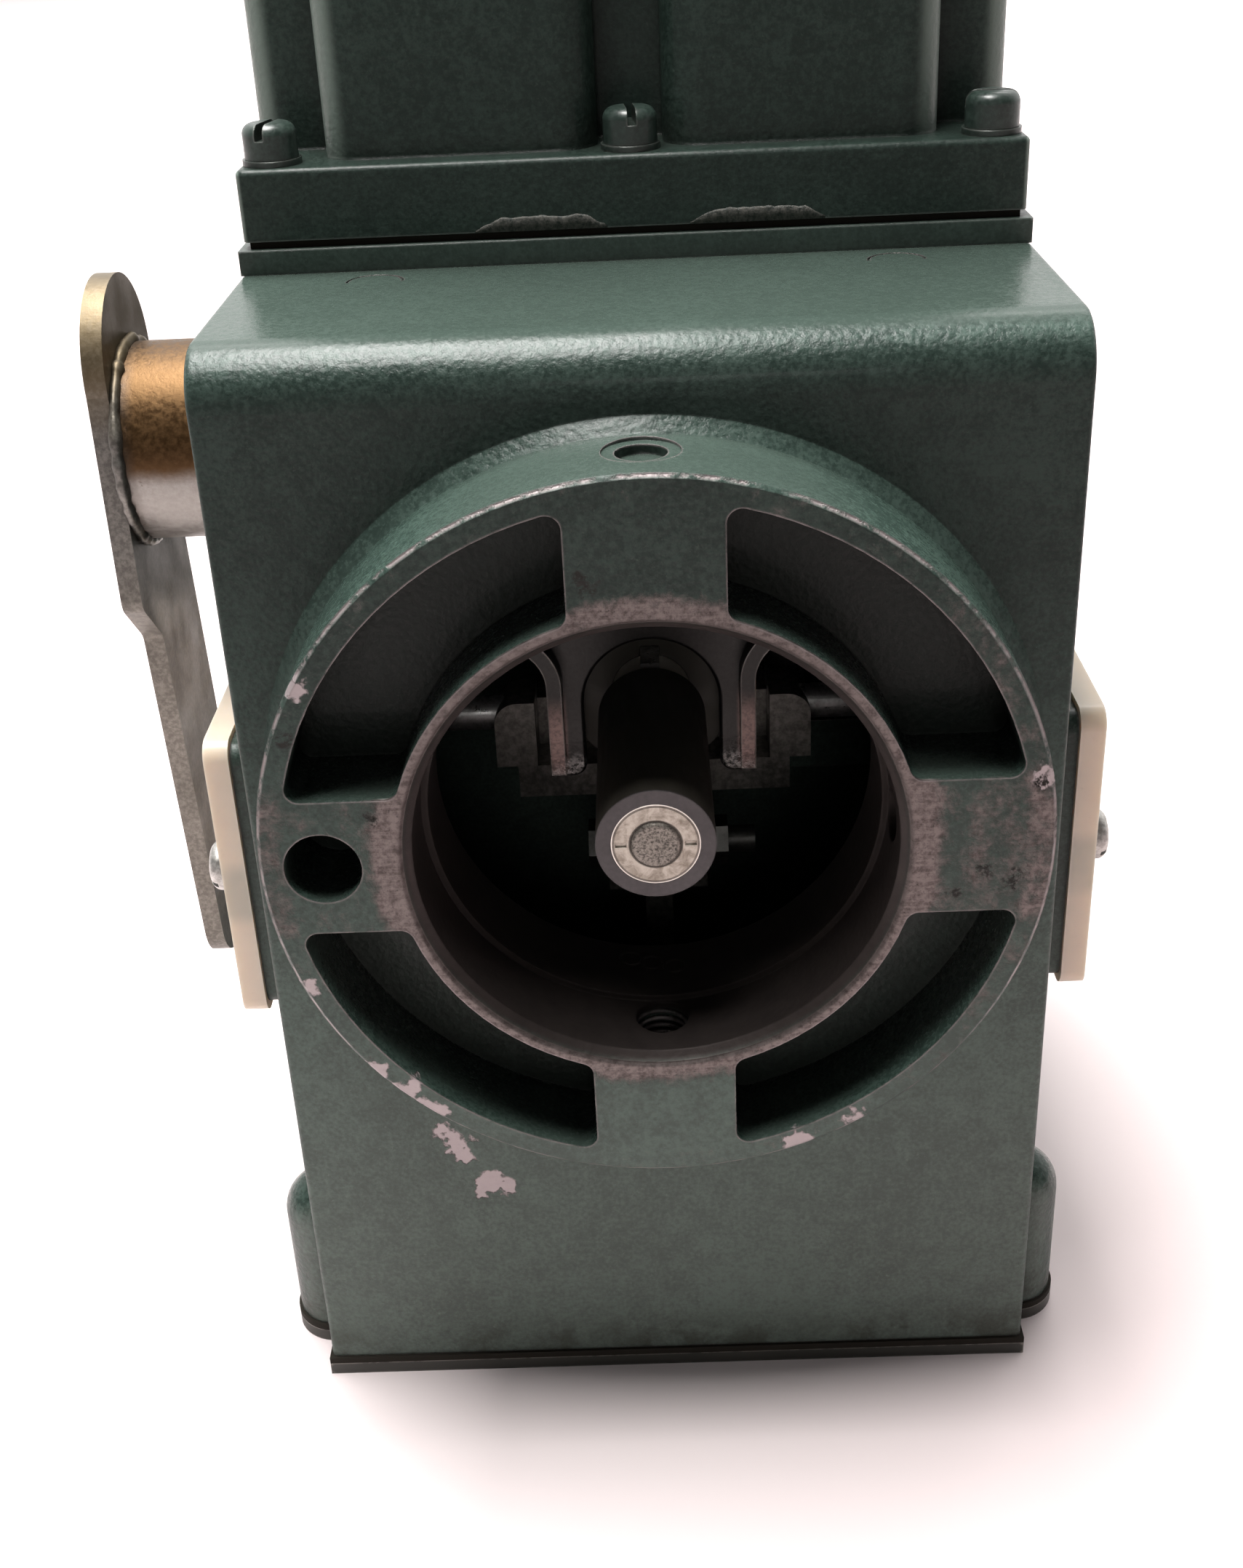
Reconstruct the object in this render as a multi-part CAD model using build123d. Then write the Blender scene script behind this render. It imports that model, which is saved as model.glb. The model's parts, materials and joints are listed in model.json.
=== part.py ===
from build123d import *
import math
import os

# Shift-lever worm gearbox, millimetres.
# The origin is the centre of the base plate's underside: +X right, +Y rear, +Z up.
# The collar and the output shaft face -Y.

# ---- housing ----
HOUSING_WIDTH = 120.65
HOUSING_DEPTH = 132.0
HOUSING_TOP = 181.2
WALL = 4.5
ROOF = 5.0
TOP_EDGE_RADIUS = 8.0
SIDE_EDGE_RADIUS = 0.8
PLATE_THICKNESS = 2.4
GASKET_THICKNESS = 1.2
PLATE_OVERHANG = 0.5
SIDE_X = HOUSING_WIDTH / 2
FRONT_Y = -HOUSING_DEPTH / 2
REAR_Y = HOUSING_DEPTH / 2
HOUSING_BOTTOM = PLATE_THICKNESS + GASKET_THICKNESS
INNER_X = SIDE_X - WALL
INNER_FRONT_Y = FRONT_Y + WALL
INNER_REAR_Y = REAR_Y - WALL
CEILING_Z = HOUSING_TOP - ROOF

# ---- collar on the front face ----
OUTPUT_Z = 113.6
COLLAR_RADIUS = 55.35
COLLAR_LENGTH = 18.4
COLLAR_FACE_Y = FRONT_Y - COLLAR_LENGTH
COLLAR_EDGE = 0.6
COLLAR_FOOT_RADIUS = 2.0
BORE_RADIUS = 34.0
BORE_CHAMFER = 1.7
BORE_STEP = 1.0
BORE_STEP_DEPTH = 14.4
HUB_RADIUS = 36.8
HUB_TAIL = 5.5
POCKET_OUTER_RADIUS = 51.9
POCKET_DEPTH = 14.0
POCKET_CORNER = 2.0
SPOKE_HALF_WIDTH = 10.5
RADIAL_TAP_RADIUS = 4.0
RADIAL_TAP_DEPTH = 10.1
SPOT_FACE_RADIUS = 5.3
SPOT_FACE_DEPTH = 0.5
TOP_RECESS_DEPTH = 1.8
TOP_RECESS_RADIUS = 3.5
AXIAL_HOLE_RADIUS = 5.47
AXIAL_HOLE_OFFSET = 46.4
AXIAL_HOLE_DEPTH = 15.0

# ---- side pads, side plates and lugs ----
PAD_THICKNESS = 3.4
PAD_FRONT = 6.5
PAD_LENGTH = 62.0
PAD_BOTTOM = 72.0
PAD_TOP = 121.0
PAD_INSET = 1.0
PAD_CORNER = 3.0
SIDE_PLATE_THICKNESS = 3.8
SIDE_PLATE_X = SIDE_X + PAD_THICKNESS
SIDE_SCREW_Z = 96.5
SIDE_SCREW_INSET = 7.0
PAN_HEAD_RADIUS = 4.0
PAN_HEAD_HEIGHT = 3.0
PAN_SHANK_RADIUS = 1.95
PAN_SHANK_LENGTH = 10.0
PAN_SLOT_WIDTH = 1.0
PAN_SLOT_DEPTH = 1.3
LUG_RADIUS = 7.0
LUG_X = 61.0
LUG_TOP = 32.5
LUG_INSET = 8.0
BASE_SCREW_RADIUS = 2.4
BASE_SCREW_HEAD_RADIUS = 4.6
BASE_SCREW_LENGTH = 15.0
BASE_SLOT_DEPTH = 1.1
EJECTOR_RADIUS = 4.35
EJECTOR_X = 38.9
EJECTOR_INSET = 39.3
EJECTOR_DEPTH = 0.25
EJECTOR_LINE = 0.35
EJECTOR_CUT = 0.4

# ---- top: adapter plate, gasket and motor cover ----
ADAPTER_THICKNESS = 3.7
ADAPTER_OVERHANG = 0.8
COVER_GASKET_THICKNESS = 1.1
COVER_GASKET_INSET = 0.9
COVER_FRONT = 47.3
COVER_HALF_WIDTH = 59.5
BODY_HALF_WIDTH = 59.0
FLANGE_THICKNESS = 10.5
COVER_HEIGHT = 106.0
COVER_WALL = 3.2
BODY_SETBACK = 17.2
LOBE_SETBACK = 5.5
LOBE_WIDTH = 42.0
LOBE_CENTRE_X = 26.0
LOBE_CORNER = 6.0
BODY_CORNER = 6.0
COVER_TOP_RADIUS = 3.5
COVER_SCREW_X = 54.5
COVER_SCREW_INSET = 5.6
FILLISTER_RADIUS = 4.1
FILLISTER_HEIGHT = 5.2
FILLISTER_CROWN = 1.7
FILLISTER_TURNS = {-1: -14, 0: 5, 1: 82}
FILLISTER_SLOT_WIDTH = 1.3
FILLISTER_SLOT_DEPTH = 2.3
FILLISTER_SHANK_RADIUS = 2.4
FILLISTER_SHANK_LENGTH = 19.0
WASHER_RADIUS = 4.5
WASHER_THICKNESS = 0.9
COVER_FRONT_Y = FRONT_Y + COVER_FRONT
COVER_CENTRE_Y = (COVER_FRONT_Y + REAR_Y) / 2
ADAPTER_TOP = HOUSING_TOP + ADAPTER_THICKNESS
FLANGE_BOTTOM = ADAPTER_TOP + COVER_GASKET_THICKNESS
FLANGE_TOP = FLANGE_BOTTOM + FLANGE_THICKNESS
COVER_TOP = FLANGE_BOTTOM + COVER_HEIGHT

# ---- worm and wheel ----
MODULE = 1.5
WHEEL_TEETH = 26
WORM_PITCH_RADIUS = 6.5
PRESSURE_ANGLE = 20.0
TOOTH_THINNING = 0.36
WHEEL_WIDTH = 10.0
WHEEL_BORE = 9.0
WHEEL_PITCH_RADIUS = MODULE * WHEEL_TEETH / 2
WORM_X = WHEEL_PITCH_RADIUS + WORM_PITCH_RADIUS
WORM_Y = COVER_CENTRE_Y
WORM_LEAD = math.pi * MODULE
WORM_TURNS = 6
WORM_BOTTOM_Z = 78.0
WORM_TOP_Z = 284.0
WORM_SHAFT_RADIUS = 4.0
ADDENDUM = MODULE
DEDENDUM = 1.25 * MODULE

# ---- output line ----
FIT_CLEARANCE = 0.05
SHAFT_RADIUS = 6.36
SHAFT_FRONT_Y = COLLAR_FACE_Y + 3.7
SHAFT_REAR_Y = REAR_Y - 2.0
SLEEVE_RADIUS = 8.55
SLEEVE_LENGTH = 41.0
END_PIN_RADIUS = 3.54
END_PIN_LENGTH = 30.0
END_PIN_CROWN = 0.6
STAKE_LENGTH = 1.6
STAKE_WIDTH = 0.7
STAKE_DEPTH = 0.3
QUILL_RADIUS = 9.0
QUILL_BORE = SHAFT_RADIUS + FIT_CLEARANCE
DOG_COUNT = 4
DOG_HEIGHT = 2.8
DOG_GAP_ANGLE = 3.0
DOG_AXIAL_GAP = 0.5
COLLAR_FLANGE_RADIUS = 14.0
COLLAR_GROOVE_RADIUS = 10.4
CLUTCH_FRONT_Y = FRONT_Y + 36.2
CLUTCH_FLANGE = 2.2
CLUTCH_GROOVE = 4.4
CLUTCH_LENGTH = 2 * CLUTCH_FLANGE + CLUTCH_GROOVE
CLUTCH_REAR_Y = CLUTCH_FRONT_Y + CLUTCH_LENGTH
QUILL_FACE_Y = CLUTCH_REAR_Y + DOG_HEIGHT + DOG_AXIAL_GAP
QUILL_FLANGE = 3.0
QUILL_FLANGE_RADIUS = 13.0
WHEEL_Y = WORM_Y
QUILL_REAR_Y = WHEEL_Y + WHEEL_WIDTH / 2 + 6.0
KEY_WIDTH = 3.0
KEY_HEIGHT = 3.0
REAR_BOSS_RADIUS = 15.0
REAR_BOSS_LENGTH = 12.5
BUSH_WALL = 3.0
SNAP_RING_RADIUS = 8.4
SNAP_RING_WIDTH = 1.2

# ---- bearing bracket behind the clutch ----
BRACKET_FRONT_Y = QUILL_FACE_Y + QUILL_FLANGE + 0.6
BRACKET_DEPTH = 10.0
BRACKET_RING_RADIUS = 16.5
EAR_INNER_X = 20.0
EAR_OUTER_X = 27.0
EAR_FRONT = 43.5
EAR_BOTTOM = 96.6
EAR_TOP = 108.5
EAR_CORNER = 4.0
CROSS_PLATE_BOTTOM = 90.6
CROSS_PLATE_HALF = 23.4
TRUNNION_Z = 104.8
TRUNNION_RADIUS = 3.0
CHEEK_INNER = 2.8
CHEEK_OUTER = 9.0
CHEEK_BOTTOM = 66.0
POST_HALF = 2.5
POST_DEPTH = 9.0
POST_TOP = 86.0
POST_FOOT_THICKNESS = 3.0
POST_FOOT_X = 16.0
POST_FOOT_Y = 12.0
LINK_BOLT_Z = 73.0
LINK_BOLT_RADIUS = 2.5
LINK_HEAD_AF = 8.0
LINK_HEAD_HEIGHT = 3.5
LINK_NUT_HEIGHT = 4.0
LINK_BOLT_END = 18.0

# ---- lever, cross-shaft and fork ----
LEVER_PIVOT_INSET = 37.0
LEVER_PIVOT_Z = 159.0
PIVOT_Y = FRONT_Y + LEVER_PIVOT_INSET
LEVER_LEAN = 5.2
LEVER_THICKNESS = 3.2
LEVER_HEAD_RADIUS = 13.6
LEVER_HEAD_X = 1.8
LEVER_HEAD_Z = 11.5
LEVER_HIP = -16.0
LEVER_STEP_START = -21.0
LEVER_STEP_END = -29.5
LEVER_ARM_FRONT = -8.5
LEVER_ARM_REAR = 14.5
LEVER_TIP = -97.0
LEVER_TIP_RADIUS = 8.0
LEVER_STEP_RADIUS = 3.0
LEVER_BOSS_RADIUS = 15.0
LEVER_BOSS_LENGTH = 17.0
LEVER_GAP = 0.3
CROSS_SHAFT_RADIUS = 5.0
LEVER_BUSH_RADIUS = 8.0
LEVER_INNER_X = -(SIDE_X + LEVER_BOSS_LENGTH)
BLIND_BOSS_RADIUS = 10.0
BLIND_BOSS_LENGTH = 9.0
FORK_WEB_FRONT = 31.5
FORK_SHEET = 2.4
FORK_FLANGE_DEPTH = 4.0
FORK_INNER_RADIUS = 11.0
FORK_HALF_WIDTH = 16.7
FORK_NECK_HALF = 11.0
FORK_TIP_Z = 100.5
FORK_FLARE_Z = 118.5
FORK_FLARE_RADIUS = 7.5
FORK_SHOULDER_Z = 131.0
FORK_TIP_RADIUS = 2.4
FORK_SHOULDER_RADIUS = 2.0
FORK_ARCH_CHAMFER = 0.5
FORK_HUB_RADIUS = 8.0
FORK_HUB_HALF = 12.0
SHOE_LEG = 2.6
SHOE_SIDE_GAP = 0.5
SHOE_HALF_HEIGHT = 2.6
SHOE_GROOVE_GAP = 0.4
ROLL_PIN_RADIUS = 1.5

# ---- motor under the cover ----
STATOR_WIDTH = 46.0
STATOR_DEPTH = 43.0
STATOR_BOTTOM = 212.0
STATOR_TOP = 244.0
STATOR_BORE = 11.6
ROTOR_RADIUS = 11.2
COIL_DEPTH = 9.0
COIL_RADIUS = 17.5
SHIELD_THICKNESS = 4.0
STUD_RADIUS = 2.0
STUD_INSET = 4.0
FAN_RADIUS = 17.0
FAN_HUB_RADIUS = 7.0
FAN_BLADES = 6
FAN_BLADE_THICKNESS = 1.2
FAN_BLADE_HEIGHT = 8.0
FAN_Z = 268.0
BEARING_OUTER = 9.5
CAPACITOR_RADIUS = 16.0
CAPACITOR_HEIGHT = 62.0
CLAMP_THICKNESS = 1.5
CLAMP_HEIGHT = 12.0
GLAND_X = -26.0
GLAND_Z = 222.0
GLAND_RADIUS = 7.5
CAP_RADIUS = 21.0
CAP_THICKNESS = 5.0
CAP_SCREW_CIRCLE = 17.0
CAP_SCREW_COUNT = 3


# ---------------- helpers ----------------
def block(x0, x1, y0, y1, z0, z1):
    centre = Pos((x0 + x1) / 2, (y0 + y1) / 2, (z0 + z1) / 2)
    return centre * Box(x1 - x0, y1 - y0, z1 - z0)


def rod_x(radius, x0, x1, y, z):
    return Pos((x0 + x1) / 2, y, z) * Rot(0, 90, 0) * Cylinder(radius, x1 - x0)


def rod_y(radius, y0, y1, x, z):
    return Pos(x, (y0 + y1) / 2, z) * Rot(90, 0, 0) * Cylinder(radius, y1 - y0)


def rod_z(radius, z0, z1, x, y):
    return Pos(x, y, (z0 + z1) / 2) * Cylinder(radius, z1 - z0)


def cone_y(radius_front, radius_rear, y0, y1, x, z):
    # A cone along Y; its first radius is at y0.
    centre = Pos(x, (y0 + y1) / 2, z)
    return centre * Rot(-90, 0, 0) * Cone(radius_front, radius_rear, y1 - y0)


def front_plane(y):
    # Local x is +X, local y is +Z, and the normal points to the front (-Y).
    return Plane(origin=(0, y, OUTPUT_Z), x_dir=(1, 0, 0), z_dir=(0, -1, 0))


def side_plane(x):
    # Local x is +Y, local y is +Z, and the normal points to +X.
    return Plane(origin=(x, 0, 0), x_dir=(0, 1, 0), z_dir=(1, 0, 0))


def solids_of(shapes):
    return Compound(children=[s for shape in shapes for s in shape.solids()])


def mirrored(shape):
    return mirror(shape, about=Plane.YZ)


def save(name, shape):
    export_step(shape, f"parts/{name}.step")


# ---------------- housing ----------------
def collar_pockets():
    ring = Circle(POCKET_OUTER_RADIUS) - Circle(HUB_RADIUS)
    spoke_length = 2 * COLLAR_RADIUS
    ring -= Rectangle(2 * SPOKE_HALF_WIDTH, spoke_length)
    ring -= Rectangle(spoke_length, 2 * SPOKE_HALF_WIDTH)
    ring = fillet(ring.vertices(), POCKET_CORNER)
    floor = front_plane(COLLAR_FACE_Y + POCKET_DEPTH)
    return extrude(floor * ring, POCKET_DEPTH)


def bore_cut():
    step_y = COLLAR_FACE_Y + BORE_STEP_DEPTH
    tail_y = INNER_FRONT_Y + HUB_TAIL
    mouth = cone_y(BORE_RADIUS + BORE_CHAMFER, BORE_RADIUS, COLLAR_FACE_Y,
                   COLLAR_FACE_Y + BORE_CHAMFER, 0, OUTPUT_Z)
    full = rod_y(BORE_RADIUS, COLLAR_FACE_Y, step_y, 0, OUTPUT_Z)
    throat = rod_y(BORE_RADIUS - BORE_STEP, step_y, tail_y, 0, OUTPUT_Z)
    return mouth + full + throat


def radial_holes():
    # A blind recess at the top, and open taps at the bottom and on the right.
    y = COLLAR_FACE_Y + RADIAL_TAP_DEPTH
    reach = COLLAR_RADIUS + 1
    start = BORE_RADIUS - BORE_STEP
    spot = COLLAR_RADIUS - SPOT_FACE_DEPTH
    floor = COLLAR_RADIUS - TOP_RECESS_DEPTH
    top = rod_z(TOP_RECESS_RADIUS, OUTPUT_Z + floor, OUTPUT_Z + reach, 0, y)
    top += rod_z(SPOT_FACE_RADIUS, OUTPUT_Z + spot, OUTPUT_Z + reach, 0, y)
    bottom = rod_z(RADIAL_TAP_RADIUS, OUTPUT_Z - reach, OUTPUT_Z - start, 0, y)
    right = rod_x(RADIAL_TAP_RADIUS, start, reach, y, OUTPUT_Z)
    return top + bottom + right


def lug_places():
    front = FRONT_Y + LUG_INSET + LUG_RADIUS
    return [(side * LUG_X, end * front) for side in (-1, 1) for end in (1, -1)]


def lugs():
    neck_top = LUG_TOP - LUG_RADIUS
    made = []
    for x, y in lug_places():
        dome = Pos(x, y, neck_top) * Sphere(LUG_RADIUS)
        made.append(dome + rod_z(LUG_RADIUS, HOUSING_BOTTOM, neck_top, x, y))
    return made


def pad(inset, x0, x1):
    # A round-cornered side plate outline between x0 and x1.
    height = PAD_TOP - PAD_BOTTOM - 2 * inset
    centre_y = FRONT_Y + PAD_FRONT + PAD_LENGTH / 2
    outline = RectangleRounded(PAD_LENGTH - 2 * inset, height, PAD_CORNER)
    outline = side_plane(x0) * Pos(centre_y, (PAD_TOP + PAD_BOTTOM) / 2) * outline
    return extrude(outline, x1 - x0)


def side_screw_places():
    front = FRONT_Y + PAD_FRONT + SIDE_SCREW_INSET
    rear = FRONT_Y + PAD_FRONT + PAD_LENGTH - SIDE_SCREW_INSET
    return [front, rear]


def ejector_marks():
    y = FRONT_Y + EJECTOR_INSET
    marks = []
    for x in (-EJECTOR_X, EJECTOR_X):
        disc = rod_z(EJECTOR_RADIUS, HOUSING_TOP - EJECTOR_DEPTH, HOUSING_TOP + 1, x, y)
        core = rod_z(EJECTOR_RADIUS - EJECTOR_LINE, HOUSING_TOP - 1, HOUSING_TOP + 1, x, y)
        rear = block(x - EJECTOR_RADIUS, x + EJECTOR_RADIUS, y - EJECTOR_CUT, y + EJECTOR_RADIUS,
                     HOUSING_TOP - EJECTOR_DEPTH, HOUSING_TOP + 1)
        marks.append((disc - core) & rear)
    return marks


def housing_shell():
    shell = block(-SIDE_X, SIDE_X, FRONT_Y, REAR_Y, HOUSING_BOTTOM, HOUSING_TOP)
    top_edges = shell.edges().filter_by(Axis.X).group_by(Axis.Z)[-1].sort_by(Axis.Y)
    shell = fillet(top_edges[0], TOP_EDGE_RADIUS)
    shell = fillet(shell.edges().filter_by(Axis.Z), SIDE_EDGE_RADIUS)
    return shell - block(-INNER_X, INNER_X, INNER_FRONT_Y, INNER_REAR_Y, 0, CEILING_Z)


def collar_body():
    ring = rod_y(COLLAR_RADIUS, COLLAR_FACE_Y, FRONT_Y, 0, OUTPUT_Z)
    ring = chamfer(ring.faces().sort_by(Axis.Y)[0].edges(), COLLAR_EDGE)
    foot = cone_y(COLLAR_RADIUS, COLLAR_RADIUS + COLLAR_FOOT_RADIUS,
                  FRONT_Y - COLLAR_FOOT_RADIUS, FRONT_Y, 0, OUTPUT_Z)
    tail = rod_y(HUB_RADIUS, FRONT_Y, INNER_FRONT_Y + HUB_TAIL, 0, OUTPUT_Z)
    return ring + foot + tail


def inner_bosses():
    rear = rod_y(REAR_BOSS_RADIUS, INNER_REAR_Y - REAR_BOSS_LENGTH, INNER_REAR_Y, 0, OUTPUT_Z)
    blind = rod_x(BLIND_BOSS_RADIUS, INNER_X - BLIND_BOSS_LENGTH, INNER_X, PIVOT_Y, LEVER_PIVOT_Z)
    arm = block(WORM_X - 9, INNER_X, WORM_Y - 9, WORM_Y + 9, WORM_BOTTOM_Z - 3, WORM_BOTTOM_Z + 7)
    return rear + blind + arm


def housing_holes():
    holes = [rod_x(LEVER_BUSH_RADIUS, -SIDE_X, -INNER_X, PIVOT_Y, LEVER_PIVOT_Z)]
    bush_outer = CROSS_SHAFT_RADIUS + BUSH_WALL
    holes.append(rod_x(bush_outer, INNER_X - BLIND_BOSS_LENGTH, INNER_X, PIVOT_Y, LEVER_PIVOT_Z))
    rear_outer = SHAFT_RADIUS + BUSH_WALL
    holes.append(rod_y(rear_outer, INNER_REAR_Y - REAR_BOSS_LENGTH, REAR_Y, 0, OUTPUT_Z))
    lower = WORM_SHAFT_RADIUS + BUSH_WALL
    holes.append(rod_z(lower, WORM_BOTTOM_Z - 1, WORM_BOTTOM_Z + 7, WORM_X, WORM_Y))
    holes.append(rod_z(2 * WORM_PITCH_RADIUS, CEILING_Z, HOUSING_TOP, WORM_X, WORM_Y))
    for side in (-1, 1):
        edges = sorted((side * INNER_X, side * SIDE_PLATE_X))
        holes.append(rod_x(TRUNNION_RADIUS, *edges, trunnion_y(), TRUNNION_Z))
        tap = sorted((side * (SIDE_PLATE_X - PAN_SHANK_LENGTH), side * SIDE_PLATE_X))
        for y in side_screw_places():
            holes.append(rod_x(PAN_SHANK_RADIUS, *tap, y, SIDE_SCREW_Z))
    for x, y in lug_places():
        holes.append(rod_z(BASE_SCREW_RADIUS, HOUSING_BOTTOM, BASE_SCREW_LENGTH, x, y))
    for x, y in cover_screw_places():
        holes.append(rod_z(FILLISTER_SHANK_RADIUS, CEILING_Z, HOUSING_TOP, x, y))
    for x, z in cap_screw_places():
        holes.append(rod_y(PAN_SHANK_RADIUS, REAR_Y - 3.5, REAR_Y, x, z))
    return holes


def trunnion_y():
    return FRONT_Y + EAR_FRONT + BRACKET_DEPTH / 2


def make_housing():
    body = housing_shell() + collar_body()
    body -= collar_pockets()
    body += inner_bosses()
    for lug in lugs():
        body += lug
    for side in (-1, 1):
        edges = sorted((side * SIDE_X, side * SIDE_PLATE_X))
        body += pad(PAD_INSET, *edges)
    body -= bore_cut()
    body -= radial_holes()
    body -= rod_y(AXIAL_HOLE_RADIUS, COLLAR_FACE_Y, COLLAR_FACE_Y + AXIAL_HOLE_DEPTH,
                  -AXIAL_HOLE_OFFSET, OUTPUT_Z)
    for cut in housing_holes() + ejector_marks():
        body -= cut
    return body


# ---------------- base ----------------
def base_outline(z0, z1):
    grow = PLATE_OVERHANG
    sheet = block(-SIDE_X - grow, SIDE_X + grow, FRONT_Y - grow, REAR_Y + grow, z0, z1)
    for x, y in lug_places():
        sheet += rod_z(LUG_RADIUS + grow, z0, z1, x, y)
    return sheet


def countersink(x, y):
    cone = Cone(BASE_SCREW_HEAD_RADIUS, BASE_SCREW_RADIUS, PLATE_THICKNESS)
    return Pos(x, y, PLATE_THICKNESS / 2) * cone


def make_base_plate():
    sheet = base_outline(0, PLATE_THICKNESS)
    for x, y in lug_places():
        sheet -= countersink(x, y)
    for x, y in foot_rivet_places():
        sheet -= rod_z(LINK_BOLT_RADIUS, 0, PLATE_THICKNESS, x, y)
    return sheet


def make_base_gasket():
    rim = base_outline(PLATE_THICKNESS, HOUSING_BOTTOM)
    rim -= block(-INNER_X, INNER_X, INNER_FRONT_Y, INNER_REAR_Y, 0, HOUSING_BOTTOM)
    for x, y in lug_places():
        rim -= rod_z(BASE_SCREW_RADIUS, 0, HOUSING_BOTTOM, x, y)
    return rim


def make_base_screws():
    screws = []
    for x, y in lug_places():
        shank = rod_z(BASE_SCREW_RADIUS, PLATE_THICKNESS, BASE_SCREW_LENGTH, x, y)
        reach = BASE_SCREW_HEAD_RADIUS
        half = PAN_SLOT_WIDTH / 2
        slot = block(x - reach, x + reach, y - half, y + half, 0, BASE_SLOT_DEPTH)
        screws.append(countersink(x, y) + shank - slot)
    return solids_of(screws)


# ---------------- top ----------------
def cover_screw_places():
    ys = (COVER_FRONT_Y + COVER_SCREW_INSET, REAR_Y - COVER_SCREW_INSET)
    return [(x, y) for x in (-COVER_SCREW_X, 0, COVER_SCREW_X) for y in ys]


def cover_footprint(grow, z0, z1):
    # The flange's plan with its six screw holes; it grows at the front and sides only.
    half = COVER_HALF_WIDTH + grow
    sheet = block(-half, half, COVER_FRONT_Y - grow, REAR_Y + min(grow, 0), z0, z1)
    for x, y in cover_screw_places():
        sheet -= rod_z(FILLISTER_SHANK_RADIUS, z0, z1, x, y)
    return sheet


def make_adapter_plate():
    sheet = cover_footprint(ADAPTER_OVERHANG, HOUSING_TOP, ADAPTER_TOP)
    return sheet - rod_z(BEARING_OUTER, HOUSING_TOP, ADAPTER_TOP, WORM_X, WORM_Y)


def make_cover_gasket():
    rim = cover_footprint(-COVER_GASKET_INSET, ADAPTER_TOP, FLANGE_BOTTOM)
    body_x = COVER_HALF_WIDTH - COVER_WALL
    y0 = COVER_FRONT_Y + BODY_SETBACK
    y1 = REAR_Y - BODY_SETBACK
    return rim - block(-body_x, body_x, y0, y1, ADAPTER_TOP, FLANGE_BOTTOM)


def cover_plan(grow):
    # The plan outline of the two-lobed body, grown outwards by an amount (negative is inwards).
    depth = HOUSING_DEPTH - COVER_FRONT
    body_depth = depth - 2 * BODY_SETBACK
    lobe_depth = depth - 2 * LOBE_SETBACK
    body = RectangleRounded(2 * (BODY_HALF_WIDTH + grow), body_depth + 2 * grow, BODY_CORNER + grow)
    lobe = RectangleRounded(LOBE_WIDTH + 2 * grow, lobe_depth + 2 * grow, LOBE_CORNER + grow)
    return body + Pos(-LOBE_CENTRE_X, 0) * lobe + Pos(LOBE_CENTRE_X, 0) * lobe


def make_motor_cover():
    centre = Pos(0, COVER_CENTRE_Y, 0)
    flange = block(-COVER_HALF_WIDTH, COVER_HALF_WIDTH, COVER_FRONT_Y, REAR_Y, FLANGE_BOTTOM, FLANGE_TOP)
    flange = fillet(flange.edges().filter_by(Axis.Z), 1.2)
    flange = fillet(flange.faces().sort_by(Axis.Z)[-1].edges(), 0.8)
    body = extrude(centre * Pos(0, 0, FLANGE_BOTTOM) * cover_plan(0), COVER_HEIGHT)
    body = fillet(body.faces().sort_by(Axis.Z)[-1].edges(), COVER_TOP_RADIUS)
    hollow = extrude(centre * Pos(0, 0, FLANGE_BOTTOM) * cover_plan(-COVER_WALL), COVER_HEIGHT - COVER_WALL)
    shell = flange + body - hollow
    for x, y in cover_screw_places():
        shell -= rod_z(FILLISTER_SHANK_RADIUS, FLANGE_BOTTOM, FLANGE_TOP, x, y)
    return shell - rod_y(GLAND_RADIUS, WORM_Y, REAR_Y, GLAND_X, GLAND_Z)


def fillister(x, y):
    seat = FLANGE_TOP + WASHER_THICKNESS
    head = rod_z(FILLISTER_RADIUS, seat, seat + FILLISTER_HEIGHT, x, y)
    head = fillet(head.faces().sort_by(Axis.Z)[-1].edges(), FILLISTER_CROWN)
    shank = rod_z(FILLISTER_SHANK_RADIUS, seat - FILLISTER_SHANK_LENGTH, seat, x, y)
    slot_floor = seat + FILLISTER_HEIGHT - FILLISTER_SLOT_DEPTH
    turn = FILLISTER_TURNS[(x > 0) - (x < 0)]
    slot = Pos(x, y, 0) * Rot(0, 0, turn) * block(
        -FILLISTER_SLOT_WIDTH / 2, FILLISTER_SLOT_WIDTH / 2,
        -FILLISTER_RADIUS, FILLISTER_RADIUS, slot_floor, slot_floor + FILLISTER_SLOT_DEPTH)
    return head + shank - slot


def washer(x, y):
    disc = rod_z(WASHER_RADIUS, FLANGE_TOP, FLANGE_TOP + WASHER_THICKNESS, x, y)
    return disc - rod_z(FILLISTER_SHANK_RADIUS, FLANGE_TOP, FLANGE_TOP + WASHER_THICKNESS, x, y)


# ---------------- side plates ----------------
def make_side_plate(side):
    edges = sorted((side * SIDE_PLATE_X, side * (SIDE_PLATE_X + SIDE_PLATE_THICKNESS)))
    sheet = pad(0, *edges)
    for y in side_screw_places():
        sheet -= rod_x(PAN_SHANK_RADIUS, *edges, y, SIDE_SCREW_Z)
    return sheet


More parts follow.
